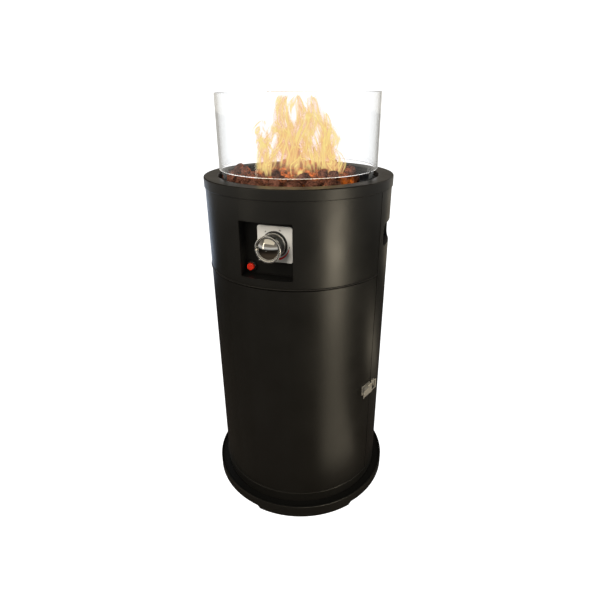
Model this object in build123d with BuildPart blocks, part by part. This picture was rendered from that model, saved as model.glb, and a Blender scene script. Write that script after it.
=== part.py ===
from build123d import *
from math import atan2, ceil, cos, degrees, hypot, radians, sin, sqrt
import os

os.makedirs("parts", exist_ok=True)

# Round gas heater with a fire bowl on top. Z is up, the floor is z = 0 and the axis of the
# body is the Z axis. The controls face -Y. Azimuths are in degrees from -Y towards +X.

# ---- Sheet body ----
body_d = 410  # outside of the sheets
sheet = 1.5  # thickness of every folded sheet
front_half = 74  # azimuth of the upright seams, each side of the front
seam_half = 0.3  # degrees from a seam to the edge of a sheet
door_h = 542
level_gap = 2  # between the door and the upper sheet
upper_h = 197  # upper sheet, of which the cap hides the top
bead_r = 1.6  # rolled sheet edge
edge_fold = 8  # depth of the folds around the door
fold_play = 1.5  # between the fold and the top of the collar
through = 25  # how far a cutter reaches past a sheet, each way

# ---- Base ----
base_overhang = 22  # base rim beyond the body
base_h = 32
rim_lip = 3.5  # width of the folded top edge
rim_return = 6  # flange under the ledge
ledge_drop = 3.5  # dark ledge below the top of the rim
foot_h = 9
foot_count = 3
foot_half = 31.5  # degrees
foot_slant = 9
foot_turn = 21.5  # azimuth of the first foot
foot_flange = 13
pad_h = 1.5
pad_inset = 4
floor_slot = (40, 10)
floor_slot_count = 12
floor_slot_out = 38  # from the bottle ring
floor_hole_r = 40
collar_h = 24.5
collar_flange = 14
collar_set_back = 1
lap_h = 13.5  # part of the collar behind the sheets
lap_gap = 0.3
bottle_ring_d = 220
bottle_ring_h = 16
bottle_flange = 12

# ---- Cap, bowl and glass ----
cap_lip = 22
cap_clear = 0.5  # lip to body
cap_round = 2  # outside of the folds
hem_round = 1.2  # lower edge of the lip
cap_ring_w = 32  # width of the flat ring
bore_lip = 12  # inner edge turned down
bowl_clear = 1.5  # bowl wall inside the cap opening
bowl_depth = 38
bowl_flange_w = 26
support_w = 17
support_rise = 6
partition_rise = 3.5  # partition above the lower edge of the upper sheet
partition_hole_r = 60
partition_slot = (50, 10)
partition_slot_count = 10
stop_h = 10
bowl_drain_r = 4
bowl_drain_count = 8
bowl_drain_in = 25  # drains from the bowl wall
tray_depth = 18  # rock tray below the bowl flange
tray_clear = 2
tray_hole_r = 5
tray_hole_rings = ((45, 8), (85, 16), (125, 24))  # radius and count
tray_leg_r = 4
tray_leg_count = 6
tray_leg_in = 14
rock_d = 34
rock_pitch = 38
rock_turn = 15
small_rock_d = 22
bare_r = 30  # no small rock this near the middle
glass_set_in = 3  # glass inside the cap opening
glass_wall = 5
glass_h = 149
glass_raise = 12.5  # bottom of the glass above the cap
glass_pad = 1.5
glass_edge_r = 0.8
tab_count = 3
tab_turn = -42
tab_w = 16
tab_leg = 26  # below the bowl flange
tab_stop_h = 9
tab_gap = 0.5
pad_rise = 7
burner_d = 170
burner_tube_d = 16
cross_tube_d = 14
hub_d = 30
port_d = 3
port_count = 24
mixer_d = 20
mixer_len = 46
air_slot = (8, 12)
air_slot_up = 14
injector_hex_r = 9
injector_hex_h = 10
injector_seat = 6
jet_r = (4, 2)
shield_hole_r = 45
standoff_r = 5
standoff_in = 35
shield_gap = 18  # under the bowl
shield_set_in = 13
electrode_rod_d = 2.4
rod_below = 20  # under the bowl floor
ceramic_d = 7
ceramic_above = 20  # over the tray
ceramic_below = 12
rod_top = 43  # above the cap
probe_d = 5
probe_tip_flat = 0.6
probe_below = 14

# ---- Controls ----
opening_w = 112
opening_h = 115
opening_drop = 19.5  # bottom of the opening above the bottom of the upper sheet
opening_corner = 3
recess_depth = 34
plate_side = 74
plate_t = 2
plate_corner = 5
plate_edge_r = 0.6
plate_from_right = 9.5
plate_from_top = 12.5
print_t = 0.2
collar_d = 54
collar_t = 4
collar_taper = 12
rear_ring_d = 50
rear_ring_t = 3
skirt_d = 45
skirt_len = 22
front_ring_d = 54
front_ring_t = 7
dome_d = 46
dome_set_in = 3  # edge of the dome behind the front of its ring
dome_rise = 9
knob_travel = 2.5
knob_float = 0.4  # knob to collar when pressed in
stem_d = 6
stem_hole_gap = 2
stem_grip = 6  # skirt left in front of the stem
plunger_d = 9.4
bore_gap = 0.3
spring_wire = 0.8
button_d = 15
button_out = 12
button_travel = 4
button_collar_d = 21
button_collar_t = 6
button_gap = 0.5
button_edge_r = 1.5
button_from_left = 13.5
button_from_bottom = 15.5
igniter_d = 14
igniter_len = 46
valve_w = 40
valve_h = 44
valve_depth = 42
valve_corner = 4
valve_neck = 8
inlet_in = 12  # from the back of the valve
inlet_hex_r = 9
inlet_hex_h = 8
barb_r = (4, 5)
barb_h = 6
barb_count = 3
pipe_d = 8
pipe_bend = 14
lead_d = 3

# ---- Door hinges and draw latch ----
leaf_t = 1.5
leaf_w = 22
leaf_h = 50
barrel_r = 3.5
hinge_pin_d = 3
hinge_gap = 0.4
hinge_inset = 86  # hinges from the ends of the door
latch_z = 316
latch_before_seam = 5.3  # degrees from the latch to the seam
latch_plate_t = 1.5
latch_half_w = 12
lever_len = 32
lever_half_w = 9.2
lever_wall = 1.2
latch_pin_d = 2.9
bail_wire_d = 2.2
running_gap = 0.1
side_gap = 0.4

# ---- Hand-holds and vents ----
grip_azimuth = 95
grip_w = 110
grip_h = 50
grip_corner = 14
grip_depth = 28
grip_wall = 2
grip_below_cap = 92
vent_w = 72
vent_h = 7
vent_pitch = 15.5
vent_rows = 3
vent_azimuths = (101.5, 180, 258.5)
vent_below_level = 25
low_vent_z = 84
low_vent_azimuths = (135, 180, 225)
post_w = 11
strap_w = 20
post_from_seam = 4
post_gap = 0.2
screw_head_d = 8
screw_head_h = 2.4
screw_taper = 25
floor_screw_count = 6
collar_screw_azimuths = (110, 145, 180, 215, 250)
collar_screw_up = 6.5
cap_screw_azimuths = (130, 180, 230)

# ---- Worked out from the above ----
body_r = body_d / 2
inner_r = body_r - sheet
rim_r = body_r + base_overhang
floor_z = base_h - ledge_drop
collar_top = floor_z + collar_h
lap_r = inner_r - lap_gap
door_z = collar_top + 0.5
door_top = door_z + door_h
upper_z = door_top + level_gap
shell_top = upper_z + upper_h
cap_top = shell_top + sheet
cap_r = body_r + cap_clear + sheet
bore_r = cap_r - cap_ring_w
bowl_r = bore_r - bowl_clear
flange_z = cap_top - sheet - bore_lip
bowl_z = flange_z - bowl_depth
tray_z = flange_z - tray_depth
glass_r = bore_r - glass_set_in
glass_z = cap_top + glass_raise
opening_z = upper_z + opening_drop + opening_h / 2
plate_y = -(body_r - recess_depth)  # front of the recess plate
back_y = plate_y + sheet
knob_x = opening_w / 2 - plate_from_right - plate_side / 2
knob_z = opening_z + opening_h / 2 - plate_from_top - plate_side / 2
button_x = -opening_w / 2 + button_from_left
button_z = opening_z - opening_h / 2 + button_from_bottom
partition_z = upper_z + partition_rise
hinge_r = body_r + barrel_r
latch_azimuth = front_half - latch_before_seam
grip_z = cap_top - grip_below_cap - grip_h / 2
hinge_zs = (door_z + hinge_inset, door_top - hinge_inset)


def polar(azimuth, radius, z):
    # Point at an azimuth, a distance from the axis and a height.
    return (radius * sin(radians(azimuth)), -radius * cos(radians(azimuth)), z)


def radial_plane(azimuth):
    # Upright plane through the axis: x points outwards and y points up.
    a = radians(azimuth)
    return Plane(origin=(0, 0, 0), x_dir=(sin(a), -cos(a), 0), z_dir=(-cos(a), -sin(a), 0))


def facing_plane(azimuth, radius, z):
    # Plane that faces outwards: x follows the azimuth and y points up.
    a = radians(azimuth)
    return Plane(polar(azimuth, radius, z), x_dir=(cos(a), sin(a), 0), z_dir=(sin(a), -cos(a), 0))


def level_plane(azimuth, radius, z):
    # Flat plane, seen from above: x follows the azimuth and y points outwards.
    a = radians(azimuth)
    return Plane(polar(azimuth, radius, z), x_dir=(cos(a), sin(a), 0), z_dir=(0, 0, -1))


def degrees_of(length, radius):
    return degrees(length / radius)


# ======== Base ========

with BuildPart() as base_rim:
    with BuildSketch(radial_plane(0)):
        with BuildLine():
            Polyline(
                (rim_r - sheet, foot_h),
                (rim_r, foot_h),
                (rim_r, base_h),
                (rim_r - rim_lip, base_h),
                (rim_r - rim_lip, floor_z - sheet),
                (rim_r - rim_lip - rim_return, floor_z - sheet),
                (rim_r - rim_lip - rim_return, floor_z - 2 * sheet),
                (rim_r - sheet, floor_z - 2 * sheet),
                close=True,
            )
        make_face()
    revolve(axis=Axis.Z)
    fillet(base_rim.edges().group_by(Axis.Z)[-1], radius=1)
    for k in range(foot_count):
        middle = foot_turn + k * 360 / foot_count
        with BuildSketch(radial_plane(middle - foot_half)):
            with BuildLine():
                Polyline(
                    (rim_r - foot_flange, pad_h),
                    (rim_r, pad_h),
                    (rim_r, foot_h),
                    (rim_r - sheet, foot_h),
                    (rim_r - sheet, pad_h + sheet),
                    (rim_r - foot_flange, pad_h + sheet),
                    close=True,
                )
            make_face()
        revolve(axis=Axis.Z, revolution_arc=2 * foot_half)
        for side in (-1, 1):
            # Slanted end of the foot.
            end_plane = facing_plane(middle + side * foot_half, rim_r - 2 * foot_flange, 0)
            with BuildSketch(end_plane):
                with BuildLine():
                    Polyline(
                        (-side * foot_slant, 0),
                        (0, foot_h),
                        (side * foot_slant / 3, foot_h),
                        (side * foot_slant / 3, 0),
                        close=True,
                    )
                make_face()
            extrude(amount=3 * foot_flange, mode=Mode.SUBTRACT)
base_rim.part.label = "base_rim"
export_step(base_rim.part, "parts/base_rim.step")

with BuildPart() as base_floor:
    with BuildSketch(Plane.XY.offset(floor_z - sheet)):
        Circle(rim_r - rim_lip)
        with PolarLocations(bottle_ring_d / 2 + floor_slot_out, floor_slot_count):
            SlotOverall(*floor_slot, mode=Mode.SUBTRACT)
        Circle(floor_hole_r, mode=Mode.SUBTRACT)
    extrude(amount=sheet)
base_floor.part.label = "base_floor"
export_step(base_floor.part, "parts/base_floor.step")

with BuildPart() as foot_pads:
    pad_half = foot_half - degrees_of(foot_slant + pad_inset, rim_r)
    for k in range(foot_count):
        with BuildSketch(radial_plane(foot_turn + k * 360 / foot_count - pad_half)):
            with Locations((rim_r - foot_flange / 2, pad_h / 2)):
                Rectangle(foot_flange - 2, pad_h)
        revolve(axis=Axis.Z, revolution_arc=2 * pad_half)
foot_pads.part.label = "foot_pads"
export_step(foot_pads.part, "parts/foot_pads.step")

with BuildPart() as collar_ring:
    band_r = body_r - collar_set_back
    with BuildSketch(radial_plane(0)):
        with BuildLine():
            Polyline(
                (band_r - collar_flange, floor_z),
                (band_r, floor_z),
                (band_r, collar_top),
                (lap_r, collar_top),
                (lap_r, collar_top + lap_h),
                (lap_r - sheet, collar_top + lap_h),
                (lap_r - sheet, collar_top - sheet),
                (band_r - sheet, collar_top - sheet),
                (band_r - sheet, floor_z + sheet),
                (band_r - collar_flange, floor_z + sheet),
                close=True,
            )
        make_face()
    revolve(axis=Axis.Z)
collar_ring.part.label = "collar_ring"
export_step(collar_ring.part, "parts/collar_ring.step")

with BuildPart() as bottle_ring:
    with BuildSketch(radial_plane(0)):
        with BuildLine():
            Polyline(
                (bottle_ring_d / 2, floor_z),
                (bottle_ring_d / 2 + bottle_flange, floor_z),
                (bottle_ring_d / 2 + bottle_flange, floor_z + sheet),
                (bottle_ring_d / 2 + sheet, floor_z + sheet),
                (bottle_ring_d / 2 + sheet, floor_z + bottle_ring_h),
                (bottle_ring_d / 2, floor_z + bottle_ring_h),
                close=True,
            )
        make_face()
    revolve(axis=Axis.Z)
bottle_ring.part.label = "bottle_ring"
export_step(bottle_ring.part, "parts/bottle_ring.step")

with BuildPart() as posts:
    # One upright just behind each seam, from the floor to the partition.
    for side in (-1, 1):
        spot = side * (front_half + degrees_of(post_w / 2 + post_from_seam, body_r))
        with BuildSketch(level_plane(spot, lap_r - sheet - post_gap, partition_z)):
            with Locations((0, -sheet / 2)):
                Rectangle(post_w, sheet)
            with Locations((side * (post_w - sheet) / 2, -post_w / 2)):
                Rectangle(sheet, post_w)
        extrude(amount=partition_z - floor_z - sheet)
posts.part.label = "posts"
export_step(posts.part, "parts/posts.step")

# ======== Sheets of the body ========

with BuildPart() as rear_shell:
    rear_start = front_half + seam_half
    with BuildSketch(radial_plane(rear_start)):
        with Locations((body_r - sheet / 2, (door_z + shell_top) / 2)):
            Rectangle(sheet, shell_top - door_z)
    revolve(axis=Axis.Z, revolution_arc=360 - 2 * rear_start)
    for side in (-1, 1):
        with BuildSketch(facing_plane(side * grip_azimuth, inner_r - through, grip_z)):
            RectangleRounded(grip_w, grip_h, grip_corner)
        extrude(amount=2 * through, mode=Mode.SUBTRACT)
    for azimuth in vent_azimuths:
        for row in range(vent_rows):
            z = upper_z - vent_below_level - row * vent_pitch
            with BuildSketch(facing_plane(azimuth, inner_r - through, z)):
                SlotOverall(vent_w, vent_h)
            extrude(amount=2 * through, mode=Mode.SUBTRACT)
    for azimuth in low_vent_azimuths:
        for z in (low_vent_z, low_vent_z + vent_pitch):
            with BuildSketch(facing_plane(azimuth, inner_r - through, z)):
                SlotOverall(vent_w, vent_h)
            extrude(amount=2 * through, mode=Mode.SUBTRACT)
rear_shell.part.label = "rear_shell"
export_step(rear_shell.part, "parts/rear_shell.step")

with BuildPart() as upper_front_shell:
    front_start = front_half - seam_half
    with BuildSketch(radial_plane(-front_start)):
        with Locations((body_r - sheet / 2, (upper_z + shell_top) / 2)):
            Rectangle(sheet, shell_top - upper_z)
        with Locations((inner_r + bead_r, upper_z + bead_r)):
            Circle(bead_r)
    revolve(axis=Axis.Z, revolution_arc=2 * front_start)
    with BuildSketch(facing_plane(0, inner_r - through, opening_z)):
        RectangleRounded(opening_w, opening_h, opening_corner)
    extrude(amount=2 * through, mode=Mode.SUBTRACT)
upper_front_shell.part.label = "upper_front_shell"
export_step(upper_front_shell.part, "parts/upper_front_shell.step")

with BuildPart() as front_door:
    fold_z = collar_top + lap_h + fold_play
    with BuildSketch(radial_plane(-front_start)):
        with BuildLine():
            Polyline(
                (inner_r, door_z),
                (body_r, door_z),
                (body_r, door_top),
                (inner_r - edge_fold, door_top),
                (inner_r - edge_fold, fold_z),
                (inner_r, fold_z),
                close=True,
            )
        make_face()
        with Locations((inner_r + bead_r, door_z + bead_r)):
            Circle(bead_r)
    revolve(axis=Axis.Z, revolution_arc=2 * front_start)
    cavity_start = front_start - degrees_of(sheet, inner_r)
    with BuildSketch(radial_plane(-cavity_start)):
        with Locations((inner_r - edge_fold, (fold_z + door_top) / 2)):
            Rectangle(2 * edge_fold, door_top - fold_z - 2 * sheet)
    revolve(axis=Axis.Z, revolution_arc=2 * cavity_start, mode=Mode.SUBTRACT)
front_door.part.label = "front_door"
export_step(front_door.part, "parts/front_door.step")

with BuildPart() as seam_straps:
    # Strips behind the upper seams, which join the upper front sheet to the rear sheet.
    strap_half = degrees_of(strap_w / 2, body_r)
    strap_z = partition_z + 2 * sheet
    for side in (-1, 1):
        with BuildSketch(radial_plane(side * front_half - strap_half)):
            with Locations((inner_r - sheet / 2, (strap_z + flange_z - 2 * sheet) / 2)):
                Rectangle(sheet, flange_z - 2 * sheet - strap_z)
        revolve(axis=Axis.Z, revolution_arc=2 * strap_half)
seam_straps.part.label = "seam_straps"
export_step(seam_straps.part, "parts/seam_straps.step")

with BuildPart() as partition_plate:
    with BuildSketch(radial_plane(0)):
        with BuildLine():
            Polyline(
                (partition_hole_r, partition_z),
                (inner_r, partition_z),
                (inner_r, partition_z + sheet),
                (partition_hole_r, partition_z + sheet),
                close=True,
            )
        make_face()
    revolve(axis=Axis.Z)
    stop_r = inner_r - edge_fold - 0.5  # the door closes just outside this stop
    with BuildSketch(radial_plane(-front_half + 2)):
        with Locations((stop_r - sheet / 2, partition_z - stop_h / 2)):
            Rectangle(sheet, stop_h)
    revolve(axis=Axis.Z, revolution_arc=2 * (front_half - 2))
    with BuildSketch(Plane.XY.offset(partition_z)):
        slot_r = (partition_hole_r + body_r) / 2 - partition_slot[1]
        with PolarLocations(slot_r, partition_slot_count, start_angle=180 / partition_slot_count):
            SlotOverall(*partition_slot)
    extrude(amount=sheet, mode=Mode.SUBTRACT)
partition_plate.part.label = "partition_plate"
export_step(partition_plate.part, "parts/partition_plate.step")


def grip_cup(side):
    # Cup behind a hand-hold, shaped to the inside of the rear sheet.
    with BuildPart(mode=Mode.PRIVATE) as cup:
        cup_depth = grip_depth + grip_wall
        mouth = facing_plane(side * grip_azimuth, body_r - 2 * sheet - cup_depth, grip_z)
        with BuildSketch(mouth):
            cup_size = (grip_w + 2 * grip_wall, grip_h + 2 * grip_wall)
            RectangleRounded(*cup_size, grip_corner + grip_wall)
        extrude(amount=cup_depth + 2 * sheet)
        with BuildSketch(mouth.offset(grip_wall)):
            RectangleRounded(grip_w, grip_h, grip_corner)
        extrude(amount=grip_depth + 2 * sheet, mode=Mode.SUBTRACT)
        with Locations((0, 0, grip_z)):
            Cylinder(inner_r, 2 * grip_h, mode=Mode.INTERSECT)
    return cup.part


with BuildPart() as left_grip:
    add(grip_cup(-1))
left_grip.part.label = "left_grip"
export_step(left_grip.part, "parts/left_grip.step")

with BuildPart() as right_grip:
    add(grip_cup(1))
right_grip.part.label = "right_grip"
export_step(right_grip.part, "parts/right_grip.step")

# ======== Top: cap, bowl, burner ========

with BuildPart() as top_cap:
    with BuildSketch(radial_plane(0)):
        with BuildLine():
            Polyline(
                (cap_r - sheet, cap_top - cap_lip),
                (cap_r, cap_top - cap_lip),
                (cap_r, cap_top),
                (bore_r, cap_top),
                (bore_r, cap_top - bore_lip),
                (bore_r + sheet, cap_top - bore_lip),
                (bore_r + sheet, cap_top - sheet),
                (cap_r - sheet, cap_top - sheet),
                close=True,
            )
        make_face()
    revolve(axis=Axis.Z)
    fillet(top_cap.edges().group_by(Axis.Z)[-1], radius=cap_round)
    lip_edges = top_cap.edges().group_by(Axis.Z)[0].filter_by(GeomType.CIRCLE)
    fillet(lip_edges.sort_by(SortBy.RADIUS)[-1], radius=hem_round)
top_cap.part.label = "top_cap"
export_step(top_cap.part, "parts/top_cap.step")

with BuildPart() as bowl_support:
    with BuildSketch(radial_plane(0)):
        with BuildLine():
            Polyline(
                (inner_r - support_w, flange_z - 2 * sheet),
                (inner_r, flange_z - 2 * sheet),
                (inner_r, flange_z + support_rise),
                (inner_r - sheet, flange_z + support_rise),
                (inner_r - sheet, flange_z - sheet),
                (inner_r - support_w, flange_z - sheet),
                close=True,
            )
        make_face()
    revolve(axis=Axis.Z)
bowl_support.part.label = "bowl_support"
export_step(bowl_support.part, "parts/bowl_support.step")


def screw_head(plane):
    # Low round head standing on a plane.
    with BuildPart(mode=Mode.PRIVATE) as head:
        with BuildSketch(plane):
            Circle(screw_head_d / 2)
        extrude(amount=screw_head_h, taper=screw_taper)
    return head.part


with BuildPart() as body_screws:
    for k in range(floor_screw_count):
        azimuth = (k + 0.5) * 360 / floor_screw_count
        add(screw_head(Plane(polar(azimuth, band_r - screw_head_d, floor_z + sheet))))
    for azimuth in collar_screw_azimuths:
        add(screw_head(facing_plane(azimuth, body_r, collar_top + collar_screw_up)))
    for azimuth in cap_screw_azimuths:
        add(screw_head(facing_plane(azimuth, cap_r, cap_top - cap_lip / 2)))
body_screws.part.label = "body_screws"
export_step(body_screws.part, "parts/body_screws.step")

pilot_x, pilot_y = polar(180 + rock_turn, rock_pitch / sqrt(3), 0)[:2]
probe_x, probe_y = polar(120 + rock_turn, rock_pitch / sqrt(3), 0)[:2]

with BuildPart() as fire_bowl:
    with BuildSketch(radial_plane(0)):
        with BuildLine():
            Polyline(
                (0, bowl_z),
                (bowl_r, bowl_z),
                (bowl_r, flange_z - sheet),
                (bowl_r + bowl_flange_w, flange_z - sheet),
                (bowl_r + bowl_flange_w, flange_z),
                (bowl_r - sheet, flange_z),
                (bowl_r - sheet, bowl_z + sheet),
                (0, bowl_z + sheet),
                close=True,
            )
        make_face()
    revolve(axis=Axis.Z)
    with BuildSketch(Plane.XY.offset(bowl_z)):
        Circle(mixer_d / 2)
        with Locations((pilot_x, pilot_y)):
            Circle(ceramic_d / 2)
        with Locations((probe_x, probe_y)):
            Circle(probe_d / 2)
        first_drain = 180 / bowl_drain_count
        with PolarLocations(bowl_r - bowl_drain_in, bowl_drain_count, start_angle=first_drain):
            Circle(bowl_drain_r)
    extrude(amount=sheet, mode=Mode.SUBTRACT)
fire_bowl.part.label = "fire_bowl"
export_step(fire_bowl.part, "parts/fire_bowl.step")

with BuildPart() as heat_shield:
    shield_z = bowl_z - shield_gap
    with BuildSketch(Plane.XY.offset(shield_z)):
        Circle(bowl_r - shield_set_in)
        Circle(shield_hole_r, mode=Mode.SUBTRACT)
    extrude(amount=sheet)
heat_shield.part.label = "heat_shield"
export_step(heat_shield.part, "parts/heat_shield.step")

with BuildPart() as shield_standoffs:
    with BuildSketch(Plane.XY.offset(shield_z + sheet)):
        with PolarLocations(bowl_r - standoff_in, 3):
            Circle(standoff_r)
    extrude(amount=shield_gap - sheet)
shield_standoffs.part.label = "shield_standoffs"
export_step(shield_standoffs.part, "parts/shield_standoffs.step")

with BuildPart() as rock_tray:
    with BuildSketch(Plane.XY.offset(tray_z)):
        Circle(bowl_r - sheet - tray_clear)
        for ring_r, count in tray_hole_rings:
            with PolarLocations(ring_r, count):
                Circle(tray_hole_r, mode=Mode.SUBTRACT)
        with Locations((pilot_x, pilot_y), (probe_x, probe_y)):
            Circle(ceramic_d / 2 + tray_clear, mode=Mode.SUBTRACT)
    extrude(amount=sheet)
    with BuildSketch(Plane.XY.offset(bowl_z + sheet)):
        first_leg = 90 / tray_leg_count
        with PolarLocations(bowl_r - tray_leg_in, tray_leg_count, start_angle=first_leg):
            Circle(tray_leg_r)
    extrude(amount=tray_z - bowl_z - sheet)
rock_tray.part.label = "rock_tray"
export_step(rock_tray.part, "parts/rock_tray.step")

with BuildPart() as burner_ring:
    burner_z = tray_z - burner_tube_d / 2 - 1
    with BuildSketch(radial_plane(0)):
        with Locations((burner_d / 2, burner_z)):
            Circle(burner_tube_d / 2)
    revolve(axis=Axis.Z)
    with BuildSketch(Plane.YZ.offset(-burner_d / 2)):
        with Locations((0, burner_z)):
            Circle(cross_tube_d / 2)
    extrude(amount=burner_d)
    with Locations((0, 0, burner_z)):
        Cylinder(hub_d / 2, cross_tube_d)
    with BuildSketch(radial_plane(0)):
        with Locations((burner_d / 2, burner_z)):
            Circle(burner_tube_d / 2 - sheet)
    revolve(axis=Axis.Z, mode=Mode.SUBTRACT)
    with BuildSketch(Plane.YZ.offset(-burner_d / 2)):
        with Locations((0, burner_z)):
            Circle(cross_tube_d / 2 - sheet)
    extrude(amount=burner_d, mode=Mode.SUBTRACT)
    with BuildSketch(Plane.XY.offset(burner_z)):
        with PolarLocations(burner_d / 2, port_count, start_angle=180 / port_count):
            Circle(port_d / 2)
    extrude(amount=burner_tube_d, mode=Mode.SUBTRACT)
    with Locations((0, 0, burner_z - cross_tube_d / 2)):
        Cylinder(mixer_d / 2 - 2 * sheet, 2 * sheet, mode=Mode.SUBTRACT)
burner_ring.part.label = "burner_ring"
export_step(burner_ring.part, "parts/burner_ring.step")

with BuildPart() as mixer_tube:
    mixer_top = burner_z - cross_tube_d / 2
    with BuildSketch(Plane.XY.offset(mixer_top - mixer_len)):
        Circle(mixer_d / 2)
        Circle(mixer_d / 2 - 2 * sheet, mode=Mode.SUBTRACT)
    extrude(amount=mixer_len)
    with Locations((0, 0, mixer_top - mixer_len + air_slot_up)):
        Box(2 * mixer_d, *air_slot, mode=Mode.SUBTRACT)
mixer_tube.part.label = "mixer_tube"
export_step(mixer_tube.part, "parts/mixer_tube.step")

with BuildPart() as injector:
    injector_z = mixer_top - mixer_len
    with BuildSketch(Plane.XY.offset(injector_z)):
        Circle(mixer_d / 2 - 2 * sheet)
    extrude(amount=injector_seat)
    with BuildSketch(Plane.XY.offset(injector_z - injector_hex_h)):
        RegularPolygon(injector_hex_r, 6)
    extrude(amount=injector_hex_h)
    with Locations((0, 0, injector_z + injector_seat)):
        Cone(*jet_r, injector_seat, align=(Align.CENTER, Align.CENTER, Align.MIN))
injector.part.label = "injector"
export_step(injector.part, "parts/injector.step")

with BuildPart() as lava_rocks:
    row_step = rock_pitch * sqrt(3) / 2
    reach = bowl_r - sheet - rock_d / 2 - tray_clear
    rows = ceil(reach / row_step)
    rock_z = tray_z + sheet + rock_d / 2
    touch = (rock_d + small_rock_d) / 2 + 0.5
    upper_rise = sqrt(touch**2 - (rock_pitch**2) / 3)
    for row in range(-rows, rows + 1):
        for column in range(-rows - 1, rows + 2):
            x = (column + 0.5 * (row % 2)) * rock_pitch
            y = row * row_step
            spot = polar(degrees(atan2(x, -y)) + rock_turn, hypot(x, y), rock_z)
            if hypot(x, y) <= reach:
                with Locations(spot):
                    Sphere(rock_d / 2)
            # Every third hollow between three rocks holds a smaller one.
            hollow_y = y - row_step * 2 / 3
            hollow_r = hypot(x, hollow_y)
            if (row + column) % 3 == 0 and bare_r < hollow_r < reach - rock_pitch / 2:
                turned = degrees(atan2(x, -hollow_y)) + rock_turn
                with Locations(polar(turned, hollow_r, rock_z + upper_rise)):
                    Sphere(small_rock_d / 2)
lava_rocks.part.label = "lava_rocks"
export_step(lava_rocks.part, "parts/lava_rocks.step")

with BuildPart() as spark_electrode:
    # Ceramic sleeve through the bowl floor.
    with BuildSketch(Plane.XY.offset(bowl_z - ceramic_below)):
        with Locations((pilot_x, pilot_y)):
            Circle(ceramic_d / 2)
            Circle(electrode_rod_d / 2, mode=Mode.SUBTRACT)
    extrude(amount=tray_z + ceramic_above - bowl_z + ceramic_below)
spark_electrode.part.label = "spark_electrode"
export_step(spark_electrode.part, "parts/spark_electrode.step")

with BuildPart() as electrode_rod:
    with BuildSketch(Plane.XY.offset(bowl_z - rod_below)):
        with Locations((pilot_x, pilot_y)):
            Circle(electrode_rod_d / 2)
    extrude(amount=cap_top + rod_top - bowl_z + rod_below)
electrode_rod.part.label = "electrode_rod"
export_step(electrode_rod.part, "parts/electrode_rod.step")

with BuildPart() as thermocouple:
    with BuildSketch(Plane.XY.offset(bowl_z - probe_below)):
        with Locations((probe_x, probe_y)):
            Circle(probe_d / 2)
    extrude(amount=cap_top - bowl_z + probe_below)
    tip_r = probe_d / 2 - probe_tip_flat
    fillet(thermocouple.edges().group_by(Axis.Z)[-1], radius=tip_r)
thermocouple.part.label = "thermocouple"
export_step(thermocouple.part, "parts/thermocouple.step")

# ======== Glass ========

with BuildPart() as glass_guard:
    with BuildSketch(Plane.XY.offset(glass_z)):
        Circle(glass_r)
        Circle(glass_r - glass_wall, mode=Mode.SUBTRACT)
    extrude(amount=glass_h)
    fillet(glass_guard.edges(), radius=glass_edge_r)
glass_guard.part.label = "glass_guard"
export_step(glass_guard.part, "parts/glass_guard.step")

with BuildPart() as glass_tabs:
    # Tabs on the bowl wall: an upright, a shelf under the glass and a stop inside it.
    shelf_z = glass_z - glass_pad - sheet
    leg_r = bowl_r - sheet
    stop_face = glass_r - glass_wall - glass_pad - lap_gap
    for k in range(tab_count):
        half = degrees_of(tab_w / 2, leg_r)
        with BuildSketch(radial_plane(tab_turn + k * 360 / tab_count - half)):
            with BuildLine():
                Polyline(
                    (leg_r, flange_z - tab_leg),
                    (leg_r, shelf_z),
                    (bore_r - tab_gap, shelf_z),
                    (bore_r - tab_gap, shelf_z + sheet),
                    (stop_face, shelf_z + sheet),
                    (stop_face, shelf_z + sheet + tab_stop_h),
                    (stop_face - sheet, shelf_z + sheet + tab_stop_h),
                    (stop_face - sheet, shelf_z),
                    (leg_r - sheet, shelf_z),
                    (leg_r - sheet, flange_z - tab_leg),
                    close=True,
                )
            make_face()
        revolve(axis=Axis.Z, revolution_arc=2 * half)
glass_tabs.part.label = "glass_tabs"
export_step(glass_tabs.part, "parts/glass_tabs.step")

with BuildPart() as glass_pads:
    for k in range(tab_count):
        half = degrees_of(tab_w / 2 - 1, leg_r)
        with BuildSketch(radial_plane(tab_turn + k * 360 / tab_count - half)):
            with BuildLine():
                Polyline(
                    (stop_face, shelf_z + sheet),
                    (bore_r - 2 * tab_gap, shelf_z + sheet),
                    (bore_r - 2 * tab_gap, glass_z),
                    (stop_face + glass_pad, glass_z),
                    (stop_face + glass_pad, glass_z + pad_rise),
                    (stop_face, glass_z + pad_rise),
                    close=True,
                )
            make_face()
        revolve(axis=Axis.Z, revolution_arc=2 * half)
glass_pads.part.label = "glass_pads"
export_step(glass_pads.part, "parts/glass_pads.step")

# ======== Control recess ========

with BuildPart() as control_box:
    box_depth = inner_r + back_y
    with Locations((0, back_y - box_depth / 2, opening_z)):
        Box(opening_w + 2 * sheet, box_depth, opening_h + 2 * sheet)
    with Locations((0, plate_y - box_depth / 2, opening_z)):
        Box(opening_w, box_depth, opening_h, mode=Mode.SUBTRACT)
    with BuildSketch(Plane.XZ.offset(-back_y)):
        with Locations((knob_x, knob_z)):
            Circle(stem_d / 2 + stem_hole_gap)
        with Locations((button_x, button_z)):
            Circle(igniter_d / 2)
    extrude(amount=sheet, mode=Mode.SUBTRACT)
    with Locations((0, 0, opening_z)):
        Cylinder(inner_r, 2 * opening_h, mode=Mode.INTERSECT)
control_box.part.label = "control_box"
export_step(control_box.part, "parts/control_box.step")

plate_front = plate_y - plate_t

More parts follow.
